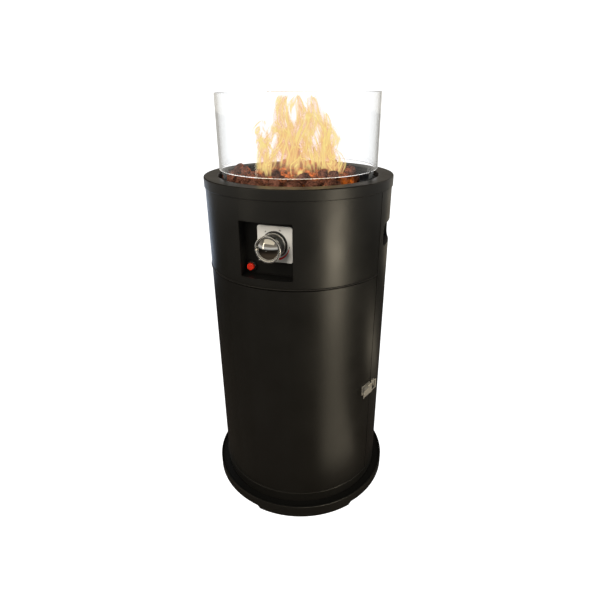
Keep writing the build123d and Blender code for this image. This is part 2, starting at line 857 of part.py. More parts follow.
with BuildPart() as control_plate:
    with BuildSketch(Plane.XZ.offset(-plate_y)):
        with Locations((knob_x, knob_z)):
            RectangleRounded(plate_side, plate_side, plate_corner)
            Circle(stem_d / 2 + stem_hole_gap, mode=Mode.SUBTRACT)
    extrude(amount=plate_t)
    plate_face = control_plate.faces().sort_by(Axis.Y)[0]
    fillet(plate_face.outer_wire().edges(), radius=plate_edge_r)
control_plate.part.label = "control_plate"
export_step(control_plate.part, "parts/control_plate.step")


def on_dial(clock, radius):
    # Point on the control plate, clockwise in degrees from the top of the knob.
    return (knob_x + radius * sin(radians(clock)), knob_z + radius * cos(radians(clock)))


scale_r = 31
scale_start = 104
scale_end = 165
scale_thin = 1.2
scale_thick = 4.4
scale_middle = (scale_start + scale_end) / 2
mark_clocks = (-38, 22, 98)
mark_size = (3.4, 1.6)

with BuildPart() as scale_arc:
    # Tapered arc that widens towards the high setting.
    with BuildSketch(Plane.XZ.offset(-plate_front)):
        with BuildLine():
            ThreePointArc(
                on_dial(scale_start, scale_r - scale_thin / 2),
                on_dial(scale_middle, scale_r - (scale_thin + scale_thick) / 4),
                on_dial(scale_end, scale_r - scale_thick / 2),
            )
            Line(
                on_dial(scale_end, scale_r - scale_thick / 2),
                on_dial(scale_end, scale_r + scale_thick / 2),
            )
            ThreePointArc(
                on_dial(scale_end, scale_r + scale_thick / 2),
                on_dial(scale_middle, scale_r + (scale_thin + scale_thick) / 4),
                on_dial(scale_start, scale_r + scale_thin / 2),
            )
            Line(
                on_dial(scale_start, scale_r + scale_thin / 2),
                on_dial(scale_start, scale_r - scale_thin / 2),
            )
        make_face()
    extrude(amount=print_t)
scale_arc.part.label = "scale_arc"
export_step(scale_arc.part, "parts/scale_arc.step")

with BuildPart() as scale_marks:
    with BuildSketch(Plane.XZ.offset(-plate_front)):
        for clock in mark_clocks:
            with Locations(Location(on_dial(clock, scale_r) + (0,), (0, 0, -clock))):
                Rectangle(*mark_size)
    extrude(amount=print_t)
scale_marks.part.label = "scale_marks"
export_step(scale_marks.part, "parts/scale_marks.step")

ring_y = plate_front - collar_t  # front of the dark collar
knob_back = ring_y - knob_travel - knob_float
skirt_back = knob_back - rear_ring_t
skirt_front = skirt_back - skirt_len

with BuildPart() as knob_collar:
    with BuildSketch(Plane.XZ.offset(-plate_front)):
        with Locations((knob_x, knob_z)):
            Circle(collar_d / 2)
            Circle(stem_d / 2 + stem_hole_gap, mode=Mode.SUBTRACT)
    extrude(amount=collar_t, taper=collar_taper)
knob_collar.part.label = "knob_collar"
export_step(knob_collar.part, "parts/knob_collar.step")

with BuildPart() as knob_rear_ring:
    with BuildSketch(Plane.XZ.offset(-knob_back)):
        with Locations((knob_x, knob_z)):
            Circle(rear_ring_d / 2)
            Circle(stem_d / 2, mode=Mode.SUBTRACT)
    extrude(amount=rear_ring_t)
    fillet(knob_rear_ring.faces().sort_by(Axis.Y)[0].outer_wire().edges(), radius=1)
knob_rear_ring.part.label = "knob_rear_ring"
export_step(knob_rear_ring.part, "parts/knob_rear_ring.step")

with BuildPart() as knob_skirt:
    with BuildSketch(Plane.XZ.offset(-skirt_back)):
        with Locations((knob_x, knob_z)):
            Circle(skirt_d / 2)
    extrude(amount=skirt_len)
    with BuildSketch(Plane.XZ.offset(-skirt_back)):
        with Locations((knob_x, knob_z)):
            Circle(stem_d / 2)
    extrude(amount=skirt_len - stem_grip, mode=Mode.SUBTRACT)
knob_skirt.part.label = "knob_skirt"
export_step(knob_skirt.part, "parts/knob_skirt.step")

with BuildPart() as knob_front_ring:
    with BuildSketch(Plane.XZ.offset(-skirt_front)):
        with Locations((knob_x, knob_z)):
            Circle(front_ring_d / 2)
            Circle(dome_d / 2, mode=Mode.SUBTRACT)
    extrude(amount=front_ring_t)
    ring_w = (front_ring_d - dome_d) / 2
    fillet(knob_front_ring.faces().sort_by(Axis.Y)[0].edges(), radius=ring_w / 3)
    fillet(knob_front_ring.faces().sort_by(Axis.Y)[-1].outer_wire().edges(), radius=ring_w / 3)
knob_front_ring.part.label = "knob_front_ring"
export_step(knob_front_ring.part, "parts/knob_front_ring.step")

with BuildPart() as knob_dome:
    # Polished dome that fills the front ring.
    dome_base = front_ring_t - dome_set_in
    dome_r = ((dome_d / 2) ** 2 + dome_rise**2) / (2 * dome_rise)
    with BuildSketch(Plane.XY):
        with BuildLine():
            Line((0, 0), (dome_d / 2, 0))
            Line((dome_d / 2, 0), (dome_d / 2, dome_base))
            RadiusArc((dome_d / 2, dome_base), (0, dome_base + dome_rise), -dome_r)
            Line((0, dome_base + dome_rise), (0, 0))
        make_face()
    revolve(axis=Axis.Y)
knob_dome.part = knob_dome.part.mirror(Plane.XZ).moved(Location((knob_x, skirt_front, knob_z)))
knob_dome.part.label = "knob_dome"
export_step(knob_dome.part, "parts/knob_dome.step")

valve_front = back_y
stem_back = valve_front + valve_neck
stem_front = skirt_front + stem_grip

with BuildPart() as valve_stem:
    with BuildSketch(Plane.XZ.offset(-stem_back)):
        with Locations((knob_x, knob_z)):
            Circle(stem_d / 2)
    extrude(amount=stem_back - stem_front)
valve_stem.part.label = "valve_stem"
export_step(valve_stem.part, "parts/valve_stem.step")

plunger_t = 4

with BuildPart() as valve_plunger:
    with BuildSketch(Plane.XZ.offset(-(stem_back + plunger_t))):
        with Locations((knob_x, knob_z)):
            Circle(plunger_d / 2)
    extrude(amount=plunger_t)
valve_plunger.part.label = "valve_plunger"
export_step(valve_plunger.part, "parts/valve_plunger.step")

with BuildPart() as valve_spring:
    spring_len = 12
    with BuildLine() as coil:
        Helix(pitch=spring_len / 4, height=spring_len - spring_wire, radius=plunger_d / 2 - spring_wire)
    with BuildSketch(Plane(coil.line @ 0, z_dir=coil.line % 0)):
        Circle(spring_wire / 2)
    sweep(is_frenet=True)
spring_seat = stem_back + plunger_t + spring_wire / 2
valve_spring.part = valve_spring.part.rotate(Axis.X, -90).moved(
    Location((knob_x, spring_seat, knob_z))
)
valve_spring.part.label = "valve_spring"
export_step(valve_spring.part, "parts/valve_spring.step")

with BuildPart() as gas_valve:
    chamber = valve_neck + plunger_t + spring_len + knob_travel + 1
    with Locations((knob_x, valve_front + valve_depth / 2, knob_z)):
        Box(valve_w, valve_depth, valve_h)
    fillet(gas_valve.edges().filter_by(Axis.Y), radius=valve_corner)
    with BuildSketch(Plane.XZ.offset(-(valve_front + chamber))):
        with Locations((knob_x, knob_z)):
            Circle(plunger_d / 2 + bore_gap)
    extrude(amount=chamber, mode=Mode.SUBTRACT)
gas_valve.part.label = "gas_valve"
export_step(gas_valve.part, "parts/gas_valve.step")

with BuildPart() as hose_inlet:
    # Barbed inlet under the valve, for the hose from the bottle.
    inlet_y = valve_front + valve_depth - inlet_in
    inlet_top = knob_z - valve_h / 2
    with BuildSketch(Plane.XY.offset(inlet_top - inlet_hex_h)):
        with Locations((knob_x, inlet_y)):
            RegularPolygon(inlet_hex_r, 6)
    extrude(amount=inlet_hex_h)
    for k in range(1, barb_count + 1):
        with Locations((knob_x, inlet_y, inlet_top - inlet_hex_h - k * barb_h)):
            Cone(*barb_r, barb_h)
hose_inlet.part.label = "hose_inlet"
export_step(hose_inlet.part, "parts/hose_inlet.step")

with BuildPart() as gas_pipe:
    # Valve outlet to the injector under the burner.
    outlet_y = valve_front + valve_depth
    injector_bottom = injector_z - injector_hex_h
    straight = 5 * pipe_d  # before the first bend
    with BuildLine() as run:
        FilletPolyline(
            (knob_x, outlet_y, knob_z + pipe_d),
            (knob_x, outlet_y + straight, knob_z + pipe_d),
            (0, -2 * pipe_d, knob_z - pipe_bend),
            (0, 0, knob_z - injector_hex_h),
            (0, 0, injector_bottom),
            radius=(pipe_bend, pipe_bend, injector_hex_r),
        )
    with BuildSketch(Plane(run.line @ 0, z_dir=run.line % 0)):
        Circle(pipe_d / 2)
    sweep()
gas_pipe.part.label = "gas_pipe"
export_step(gas_pipe.part, "parts/gas_pipe.step")

# ======== Igniter ========

with BuildPart() as igniter_collar:
    with BuildSketch(Plane.XZ.offset(-plate_y)):
        with Locations((button_x, button_z)):
            Circle(button_collar_d / 2)
            Circle(button_d / 2 + bore_gap, mode=Mode.SUBTRACT)
    extrude(amount=button_collar_t)
    collar_face = igniter_collar.faces().sort_by(Axis.Y)[0]
    fillet(collar_face.outer_wire().edges(), radius=button_edge_r)
igniter_collar.part.label = "igniter_collar"
export_step(igniter_collar.part, "parts/igniter_collar.step")

with BuildPart() as igniter_button:
    button_back = plate_y - button_travel - button_gap
    button_front = plate_y - button_out
    with BuildSketch(Plane.XZ.offset(-button_back)):
        with Locations((button_x, button_z)):
            Circle(button_d / 2)
    extrude(amount=button_back - button_front)
    fillet(igniter_button.faces().sort_by(Axis.Y)[0].edges(), radius=button_edge_r)
igniter_button.part.label = "igniter_button"
export_step(igniter_button.part, "parts/igniter_button.step")

with BuildPart() as igniter_body:
    with BuildSketch(Plane.XZ.offset(-(plate_y + igniter_len))):
        with Locations((button_x, button_z)):
            Circle(igniter_d / 2)
    extrude(amount=igniter_len)
igniter_body.part.label = "igniter_body"
export_step(igniter_body.part, "parts/igniter_body.step")

lead_run = 40  # straight part where a lead leaves its fitting
lead_bend = 14
lead_step = 20

with BuildPart() as spark_lead:
    lead_start = (button_x, plate_y + igniter_len, button_z)
    with BuildLine() as run:
        FilletPolyline(
            lead_start,
            (button_x, lead_start[1] + lead_run, button_z),
            (button_x + lead_d, pilot_y - lead_bend, button_z + lead_step),
            (pilot_x - lead_d, pilot_y + 2 * lead_d, button_z + 2 * lead_step),
            (pilot_x, pilot_y, bowl_z - lead_run),
            (pilot_x, pilot_y, bowl_z - rod_below),
            radius=lead_bend,
        )
    with BuildSketch(Plane(run.line @ 0, z_dir=run.line % 0)):
        Circle(lead_d / 2)
    sweep()
spark_lead.part.label = "spark_lead"
export_step(spark_lead.part, "parts/spark_lead.step")

with BuildPart() as thermocouple_lead:
    lead_end = (knob_x + lead_bend, valve_front + valve_depth, knob_z - lead_step / 2)
    with BuildLine() as run:
        FilletPolyline(
            (probe_x, probe_y, bowl_z - probe_below),
            (probe_x, probe_y, bowl_z - probe_below - lead_run),
            (probe_x + 3 * lead_d, probe_y - lead_step, knob_z - lead_step),
            (lead_end[0], lead_end[1] + lead_run, lead_end[2]),
            lead_end,
            radius=lead_bend,
        )
    with BuildSketch(Plane(run.line @ 0, z_dir=run.line % 0)):
        Circle(lead_d / 2)
    sweep()
thermocouple_lead.part.label = "thermocouple_lead"
export_step(thermocouple_lead.part, "parts/thermocouple_lead.step")

# ======== Door hinges ========

knuckle_h = leaf_h / 4
hinge_azimuth = -front_half
hinge_x, hinge_y = polar(hinge_azimuth, hinge_r, 0)[:2]
clear_angle = degrees_of(barrel_r + hinge_gap, body_r)
leaf_angle = degrees_of(leaf_w, body_r)


def leaf_band(start, arc, z, height):
    # Strip of the body's curve, one leaf thick, lying on the sheet.
    with BuildPart(mode=Mode.PRIVATE) as band:
        with BuildSketch(radial_plane(start)):
            with Locations((body_r + leaf_t / 2, z)):
                Rectangle(leaf_t, height)
        revolve(axis=Axis.Z, revolution_arc=arc)
    return band.part


with BuildPart() as hinge_fixed_leaves:
    for z in hinge_zs:
        add(leaf_band(hinge_azimuth - leaf_angle, leaf_angle - clear_angle, z, leaf_h))
        for end in (-1, 1):
            knuckle_z = z + end * (leaf_h - knuckle_h) / 2
            add(leaf_band(hinge_azimuth - leaf_angle, leaf_angle, knuckle_z, knuckle_h))
            with Locations((hinge_x, hinge_y, knuckle_z)):
                Cylinder(barrel_r, knuckle_h)
                Cylinder(hinge_pin_d / 2, knuckle_h, mode=Mode.SUBTRACT)
hinge_fixed_leaves.part.label = "hinge_fixed_leaves"
export_step(hinge_fixed_leaves.part, "parts/hinge_fixed_leaves.step")

with BuildPart() as hinge_door_leaves:
    middle_h = leaf_h - 2 * knuckle_h - 2 * hinge_gap
    for z in hinge_zs:
        add(leaf_band(hinge_azimuth + clear_angle, leaf_angle - clear_angle, z, leaf_h))
        add(leaf_band(hinge_azimuth, leaf_angle, z, middle_h))
        with Locations((hinge_x, hinge_y, z)):
            Cylinder(barrel_r, middle_h)
            Cylinder(hinge_pin_d / 2 + running_gap, middle_h, mode=Mode.SUBTRACT)
hinge_door_leaves.part.label = "hinge_door_leaves"
export_step(hinge_door_leaves.part, "parts/hinge_door_leaves.step")

with BuildPart() as hinge_pins:
    for z in hinge_zs:
        with Locations((hinge_x, hinge_y, z)):
            Cylinder(hinge_pin_d / 2, leaf_h)
hinge_pins.part.label = "hinge_pins"
export_step(hinge_pins.part, "parts/hinge_pins.step")


def leaf_screws(side):
    # Screw heads on the leaves of one side of both hinges.
    with BuildPart(mode=Mode.PRIVATE) as heads:
        spot = hinge_azimuth + side * leaf_angle * 2 / 3
        for z in hinge_zs:
            for end in (-1, 1):
                with BuildSketch(facing_plane(spot, body_r + leaf_t, z + end * leaf_h / 3)):
                    Circle(screw_head_d / 3)
                extrude(amount=screw_head_h / 2)
    return heads.part


with BuildPart() as hinge_fixed_screws:
    add(leaf_screws(-1))
hinge_fixed_screws.part.label = "hinge_fixed_screws"
export_step(hinge_fixed_screws.part, "parts/hinge_fixed_screws.step")

with BuildPart() as hinge_door_screws:
    add(leaf_screws(1))
hinge_door_screws.part.label = "hinge_door_screws"
export_step(hinge_door_screws.part, "parts/hinge_door_screws.step")

# ======== Draw latch ========

pivot_s = 8  # lever pivot, towards the seam
pivot_u = 7  # and above the sheet
lug_r = latch_pin_d / 2 + 1
lug_out = lever_half_w - lever_wall - side_gap
lever_top = pivot_u + lug_r + side_gap + lever_wall
bail_s = 0
bail_u = 7.5
bail_reach = 33
bail_bar_u = 5.2
bail_bend = 1.6
bail_side = 1.4  # arms outside the lever
latch_base_len = 31
latch_base_mid = -1.5
lever_lip = (5, 2.5)  # turned-up end: along and out
lever_slope = 4
cheek_low = 3.8  # lower edge of the cheeks above the sheet
cheek_r = 3.2
pin_head_r = 2.5
keeper_s = 25
keeper_plate = (12, 2.5)
hook_s = 28.6
hook_t = 1.3
hook_len = 2.6
hook_top = 2.9
hook_lip = 1.1
keeper_half_w = 8
latch_plane = level_plane(latch_azimuth, body_r, latch_z)

with BuildPart() as latch_base:
    with BuildSketch(latch_plane):
        with Locations((latch_base_mid, 0)):
            Rectangle(latch_base_len, 2 * latch_plate_t)
    extrude(amount=latch_half_w, both=True)
    for side in (-1, 1):
        with BuildSketch(latch_plane.offset(side * (lug_out - lever_wall / 2))):
            with Locations((pivot_s, pivot_u)):
                Circle(lug_r)
            with Locations((pivot_s, pivot_u / 2)):
                Rectangle(2 * lug_r, pivot_u)
        extrude(amount=lever_wall / 2, both=True)
    with BuildSketch(latch_plane):
        with Locations((pivot_s, pivot_u)):
            Circle(latch_pin_d / 2)
    extrude(amount=latch_half_w, both=True, mode=Mode.SUBTRACT)
    with Locations((0, 0, latch_z)):
        Cylinder(body_r, 4 * latch_half_w, mode=Mode.SUBTRACT)
latch_base.part.label = "latch_base"
export_step(latch_base.part, "parts/latch_base.step")

with BuildPart() as latch_pivot:
    with BuildSketch(latch_plane):
        with Locations((pivot_s, pivot_u)):
            Circle(latch_pin_d / 2)
    extrude(amount=lever_half_w + 1, both=True)
    for side in (-1, 1):
        with BuildSketch(latch_plane.offset(side * (lever_half_w + 1.5 * side_gap))):
            with Locations((pivot_s, pivot_u)):
                Circle(pin_head_r)
        extrude(amount=side_gap, both=True)
latch_pivot.part.label = "latch_pivot"
export_step(latch_pivot.part, "parts/latch_pivot.step")

with BuildPart() as latch_lever:
    with BuildSketch(latch_plane):
        with BuildLine():
            Polyline(
                (pivot_s, lever_top - lever_wall),
                (pivot_s, lever_top),
                (pivot_s - lever_len, lever_top),
                (pivot_s - lever_len - lever_lip[0], lever_top + lever_lip[1]),
                (pivot_s - lever_len - lever_lip[0], lever_top + lever_lip[1] - lever_wall),
                (pivot_s - lever_len, lever_top - lever_wall),
                close=True,
            )
        make_face()
    extrude(amount=lever_half_w, both=True)
    for side in (-1, 1):
        with BuildSketch(latch_plane.offset(side * (lever_half_w - lever_wall / 2))):
            with BuildLine():
                Polyline(
                    (pivot_s, lever_top),
                    (pivot_s - lever_len + lever_slope, lever_top),
                    (pivot_s - lever_len + 2 * lever_slope, cheek_low),
                    (pivot_s, cheek_low),
                    close=True,
                )
            make_face()
            with Locations((pivot_s, pivot_u)):
                Circle(cheek_r)
        extrude(amount=lever_wall / 2, both=True)
    with BuildSketch(latch_plane):
        with Locations((pivot_s, pivot_u)):
            Circle(latch_pin_d / 2 + running_gap)
        with Locations((bail_s, bail_u)):
            Circle(bail_wire_d / 2 + running_gap)
    extrude(amount=latch_half_w, both=True, mode=Mode.SUBTRACT)
latch_lever.part.label = "latch_lever"
export_step(latch_lever.part, "parts/latch_lever.step")

with BuildPart() as latch_bail:
    arm_z = lever_half_w + bail_side + bail_wire_d / 2

    def on_latch(s, u, w):
        # Point by distance along the rim, height above the sheet and height along the axis.
        return latch_plane.from_local_coords((s, u, w))

    with BuildLine() as wire:
        FilletPolyline(
            on_latch(bail_s, bail_u, lug_out + lap_gap),
            on_latch(bail_s, bail_u, arm_z),
            on_latch(bail_reach, bail_bar_u, arm_z),
            on_latch(bail_reach, bail_bar_u, -arm_z),
            on_latch(bail_s, bail_u, -arm_z),
            on_latch(bail_s, bail_u, -lug_out - lap_gap),
            radius=bail_bend,
        )
    with BuildSketch(Plane(wire.line @ 0, z_dir=wire.line % 0)):
        Circle(bail_wire_d / 2)
    sweep()
latch_bail.part.label = "latch_bail"
export_step(latch_bail.part, "parts/latch_bail.step")

with BuildPart() as latch_keeper:
    # Plate on the rear sheet with a hook for the bail.
    with BuildSketch(latch_plane):
        with Locations((keeper_s + keeper_plate[0] / 2, -keeper_plate[1])):
            Rectangle(*keeper_plate)
        with BuildLine():
            Polyline(
                (hook_s, -keeper_plate[1]),
                (hook_s, hook_top),
                (hook_s + hook_len, hook_top),
                (hook_s + hook_len, hook_top - hook_lip),
                (hook_s + hook_t, hook_top - hook_lip),
                (hook_s + hook_t, -keeper_plate[1]),
                close=True,
            )
        make_face()
    extrude(amount=keeper_half_w, both=True)
    with Locations((0, 0, latch_z)):
        Cylinder(body_r, 4 * latch_half_w, mode=Mode.SUBTRACT)
latch_keeper.part.label = "latch_keeper"
export_step(latch_keeper.part, "parts/latch_keeper.step")
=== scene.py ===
import math
import random

import bmesh
import bpy
from mathutils import Matrix, Vector, noise


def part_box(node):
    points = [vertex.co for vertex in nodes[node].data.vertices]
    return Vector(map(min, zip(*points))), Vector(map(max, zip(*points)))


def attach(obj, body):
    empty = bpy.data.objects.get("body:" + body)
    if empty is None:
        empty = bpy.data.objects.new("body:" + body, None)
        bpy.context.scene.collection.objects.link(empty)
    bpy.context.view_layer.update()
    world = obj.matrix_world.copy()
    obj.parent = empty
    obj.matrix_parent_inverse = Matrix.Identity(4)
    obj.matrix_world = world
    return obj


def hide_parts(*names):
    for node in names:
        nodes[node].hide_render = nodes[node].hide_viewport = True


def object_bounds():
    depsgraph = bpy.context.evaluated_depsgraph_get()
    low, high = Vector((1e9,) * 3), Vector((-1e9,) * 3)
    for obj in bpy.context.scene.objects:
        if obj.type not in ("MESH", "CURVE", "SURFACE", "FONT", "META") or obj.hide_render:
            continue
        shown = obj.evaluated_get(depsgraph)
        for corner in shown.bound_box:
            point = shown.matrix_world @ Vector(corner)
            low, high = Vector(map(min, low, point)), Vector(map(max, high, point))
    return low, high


# Round gas heater with a fire bowl: looks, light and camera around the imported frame.
# Metres, Z up, controls towards -Y.

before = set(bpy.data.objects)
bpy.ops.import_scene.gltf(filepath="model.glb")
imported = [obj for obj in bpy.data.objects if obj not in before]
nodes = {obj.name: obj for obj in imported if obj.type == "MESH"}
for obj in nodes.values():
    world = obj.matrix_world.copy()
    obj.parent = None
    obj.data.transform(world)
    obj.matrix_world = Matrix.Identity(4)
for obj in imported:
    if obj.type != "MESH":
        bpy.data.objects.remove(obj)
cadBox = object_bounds()
print("frame loaded:", len(nodes), "nodes")


def hexColour(code):
    # sRGB hex to the linear colour that the shaders take
    parts = [int(code[i:i + 2], 16) / 255 for i in (1, 3, 5)]
    return tuple(c / 12.92 if c <= 0.04045 else ((c + 0.055) / 1.055) ** 2.4 for c in parts) + (1,)


def perMetre(sizeMm):
    # texture scale for a pattern whose cells are sizeMm across
    return 1000 / sizeMm


def addNode(tree, kind, settings=None, links=None):
    node = tree.nodes.new(kind)
    for key, value in (settings or {}).items():
        if isinstance(key, int) or key in node.inputs:
            node.inputs[key].default_value = value
        else:
            setattr(node, key, value)
    for key, source in (links or {}).items():
        tree.links.new(source, node.inputs[key])
    return node


noiseBand = (0.3, 0.7)  # where most of a noise texture lies


def startMaterial(name):
    material = bpy.data.materials.new(name)
    material.use_nodes = True
    material.node_tree.nodes.clear()
    return material, material.node_tree


def endMaterial(tree, shader):
    addNode(tree, "ShaderNodeOutputMaterial", None, {"Surface": shader.outputs[0]})


coatLook = {
    "dark": "#080705", "light": "#0c0b08",
    "roughness": (0.34, 0.42),
    "cloudMm": 70,
    "peelMm": 1.6,  # orange peel is near 0.6 mm, drawn coarser so that it shows
    "peelDepthMm": 0.02,
    "peelStrength": 0.35,
    "specular": 0.5,
}


def polyesterPowderCoat(name, look):
    # Powder coat, sprayed dry and baked: an even dark sheen, slightly broken by orange peel
    material, tree = startMaterial(name)
    where = addNode(tree, "ShaderNodeTexCoord")
    cloud = addNode(tree, "ShaderNodeTexNoise", {"Scale": perMetre(look["cloudMm"]), "Detail": 3},
                    {"Vector": where.outputs["Object"]})
    peel = addNode(tree, "ShaderNodeTexNoise", {"Scale": perMetre(look["peelMm"]), "Detail": 2},
                   {"Vector": where.outputs["Object"]})
    tone = addNode(tree, "ShaderNodeMix",
                   {"data_type": "RGBA", 6: hexColour(look["dark"]), 7: hexColour(look["light"])},
                   {0: cloud.outputs[0]})
    rough = addNode(tree, "ShaderNodeMapRange",
                    {"From Min": noiseBand[0], "From Max": noiseBand[1],
                     "To Min": look["roughness"][0], "To Max": look["roughness"][1]},
                    {"Value": cloud.outputs[0]})
    bump = addNode(tree, "ShaderNodeBump",
                   {"Strength": look["peelStrength"], "Distance": look["peelDepthMm"] / 1000},
                   {"Height": peel.outputs[0]})
    shader = addNode(tree, "ShaderNodeBsdfPrincipled",
                     {"IOR": 1.5, "Specular IOR Level": look["specular"]},
                     {"Base Color": tone.outputs[2], "Roughness": rough.outputs[0],
                      "Normal": bump.outputs[0]})
    endMaterial(tree, shader)
    return material


# grainMm is how far one streak reaches along X, Y and Z
metalLook = {
    "zinc": {"dark": "#b5b3ab", "light": "#e6e2d8",
             "roughness": (0.34, 0.48), "grainMm": (2.5, 2.5, 9),
             "metallic": 0.75},  # passivated, so part of it is a dull film
    "stainless": {"dark": "#777c80", "light": "#a9adb0",
                  "roughness": (0.28, 0.42), "grainMm": (60, 60, 1.2)},
    "darkSteel": {"dark": "#1b1b1a", "light": "#2b2a28",
                  "roughness": (0.35, 0.5), "grainMm": (4, 4, 4)},
    "castAluminium": {"dark": "#8d8f91", "light": "#b4b6b8",
                      "roughness": (0.45, 0.6), "grainMm": (2, 2, 2)},
    "brass": {"dark": "#9d7c3c", "light": "#c9a75a",
              "roughness": (0.25, 0.38), "grainMm": (6, 6, 1.5)},
}

grainRelief = {"metal": 0.15, "moulded": 0.2, "depthMm": 0.05}


def grainedMetal(name, look):
    # Bare or plated metal whose grain follows the way it was rolled, turned or brushed
    material, tree = startMaterial(name)
    where = addNode(tree, "ShaderNodeTexCoord")
    stretch = addNode(tree, "ShaderNodeMapping",
                      {"Scale": [perMetre(size) for size in look["grainMm"]]},
                      {"Vector": where.outputs["Object"]})
    grain = addNode(tree, "ShaderNodeTexNoise", {"Scale": 1, "Detail": 4, "Roughness": 0.6},
                    {"Vector": stretch.outputs[0]})
    tone = addNode(tree, "ShaderNodeMix",
                   {"data_type": "RGBA", 6: hexColour(look["dark"]), 7: hexColour(look["light"])},
                   {0: grain.outputs[0]})
    rough = addNode(tree, "ShaderNodeMapRange",
                    {"From Min": noiseBand[0], "From Max": noiseBand[1],
                     "To Min": look["roughness"][0], "To Max": look["roughness"][1]},
                    {"Value": grain.outputs[0]})
    bump = addNode(tree, "ShaderNodeBump",
                   {"Strength": grainRelief["metal"], "Distance": grainRelief["depthMm"] / 1000},
                   {"Height": grain.outputs[0]})
    shader = addNode(tree, "ShaderNodeBsdfPrincipled", {"Metallic": look.get("metallic", 1)},
                     {"Base Color": tone.outputs[2], "Roughness": rough.outputs[0],
                      "Normal": bump.outputs[0]})
    endMaterial(tree, shader)
    return material


chromeLook = {
    "mirror": {"colour": "#d6d6d4", "roughness": (0.04, 0.1), "wipeMm": 12},
    "satin": {"colour": "#f4f3f0", "roughness": (0.2, 0.28), "wipeMm": 6},
    "wipeBand": (0.35, 0.7),
}


def chromePlate(name, look):
    # Chrome plate on zamak: a mirror with faint wipe marks where buffed,
    # a bright soft ring where brushed
    material, tree = startMaterial(name)
    where = addNode(tree, "ShaderNodeTexCoord")
    wipe = addNode(tree, "ShaderNodeTexNoise", {"Scale": perMetre(look["wipeMm"]), "Detail": 4},
                   {"Vector": where.outputs["Object"]})
    rough = addNode(tree, "ShaderNodeMapRange",
                    {"From Min": chromeLook["wipeBand"][0], "From Max": chromeLook["wipeBand"][1],
                     "To Min": look["roughness"][0], "To Max": look["roughness"][1]},
                    {"Value": wipe.outputs[0]})
    shader = addNode(tree, "ShaderNodeBsdfPrincipled",
                     {"Metallic": 1, "Base Color": hexColour(look["colour"])},
                     {"Roughness": rough.outputs[0]})
    endMaterial(tree, shader)
    return material


mouldedLook = {
    "blackAbs": {"dark": "#070708", "light": "#0d0d0e", "roughness": (0.42, 0.52), "grainMm": 0.9},
    "redAbs": {"dark": "#a31b10", "light": "#be2c1a", "roughness": (0.22, 0.3), "grainMm": 2},
    "silverLacquer": {"dark": "#c6c8c8", "light": "#d3d5d5",
                      "roughness": (0.35, 0.45), "grainMm": 1.5},
    "blackInk": {"dark": "#141414", "light": "#1e1e1e", "roughness": (0.4, 0.5), "grainMm": 0.6},
    "redInk": {"dark": "#b3121c", "light": "#d21f28", "roughness": (0.35, 0.45), "grainMm": 0.6},
    "silicone": {"dark": "#3c3d3e", "light": "#4a4b4c", "roughness": (0.6, 0.75), "grainMm": 1.5},
    "rubber": {"dark": "#121212", "light": "#1c1c1c", "roughness": (0.65, 0.8), "grainMm": 1.2},
    "groundGlass": {"dark": "#eef2f2", "light": "#ffffff", "roughness": (0.5, 0.6), "grainMm": 1,
                    "glow": 1.0},  # painted glow: the edge emits white light of its own, standing in for daylight that the wall carries down to its cut edge
    "alumina": {"dark": "#d9d4c6", "light": "#efebe0", "roughness": (0.5, 0.62), "grainMm": 1},
}


def mouldedSurface(name, look):
    # Moulded, printed or fired: one colour with a fine texture from the tool or the grain
    material, tree = startMaterial(name)
    where = addNode(tree, "ShaderNodeTexCoord")
    grain = addNode(tree, "ShaderNodeTexNoise", {"Scale": perMetre(look["grainMm"]), "Detail": 3},
                    {"Vector": where.outputs["Object"]})
    tone = addNode(tree, "ShaderNodeMix",
                   {"data_type": "RGBA", 6: hexColour(look["dark"]), 7: hexColour(look["light"])},
                   {0: grain.outputs[0]})
    rough = addNode(tree, "ShaderNodeMapRange",
                    {"From Min": noiseBand[0], "From Max": noiseBand[1],
                     "To Min": look["roughness"][0], "To Max": look["roughness"][1]},
                    {"Value": grain.outputs[0]})
    bump = addNode(tree, "ShaderNodeBump",
                   {"Strength": grainRelief["moulded"], "Distance": grainRelief["depthMm"] / 1000},
                   {"Height": grain.outputs[0]})
    # a look's glow is a painted glow: emission on a surface that is no lamp
    shader = addNode(tree, "ShaderNodeBsdfPrincipled",
                     {"IOR": 1.5, "Emission Color": hexColour(look["light"]),
                      "Emission Strength": look.get("glow", 0)},
                     {"Base Color": tone.outputs[2], "Roughness": rough.outputs[0],
                      "Normal": bump.outputs[0]})
    endMaterial(tree, shader)
    return material


glassLook = {
    "tint": "#fdfeff", "roughness": 0.0, "ior": 1.47,
    "drawMm": 40, "drawStrength": 0.01, "drawDepthMm": 0.1,
    "edgeMm": 0.5,  # how high the ground edge reaches
}


def borosilicateGlass():
    # Drawn borosilicate tube, clear: almost unseen from the front, darker lines where it turns away
    material, tree = startMaterial("clearBorosilicateGlass")
    where = addNode(tree, "ShaderNodeTexCoord")
    draw = addNode(tree, "ShaderNodeTexNoise",
                   {"Scale": perMetre(glassLook["drawMm"]), "Detail": 1},
                   {"Vector": where.outputs["Object"]})
    bump = addNode(tree, "ShaderNodeBump",
                   {"Strength": glassLook["drawStrength"],
                    "Distance": glassLook["drawDepthMm"] / 1000},
                   {"Height": draw.outputs[0]})
    glass = addNode(tree, "ShaderNodeBsdfPrincipled",
                    {"Base Color": hexColour(glassLook["tint"]),
                     "Roughness": glassLook["roughness"], "IOR": glassLook["ior"],
                     "Transmission Weight": 1},
                    {"Normal": bump.outputs[0]})
    clear = addNode(tree, "ShaderNodeBsdfTransparent", {"Color": hexColour(glassLook["tint"])})
    path = addNode(tree, "ShaderNodeLightPath")
    both = addNode(tree, "ShaderNodeMixShader", None,
                   {0: path.outputs["Is Shadow Ray"], 1: glass.outputs[0], 2: clear.outputs[0]})
    endMaterial(tree, both)
    return material


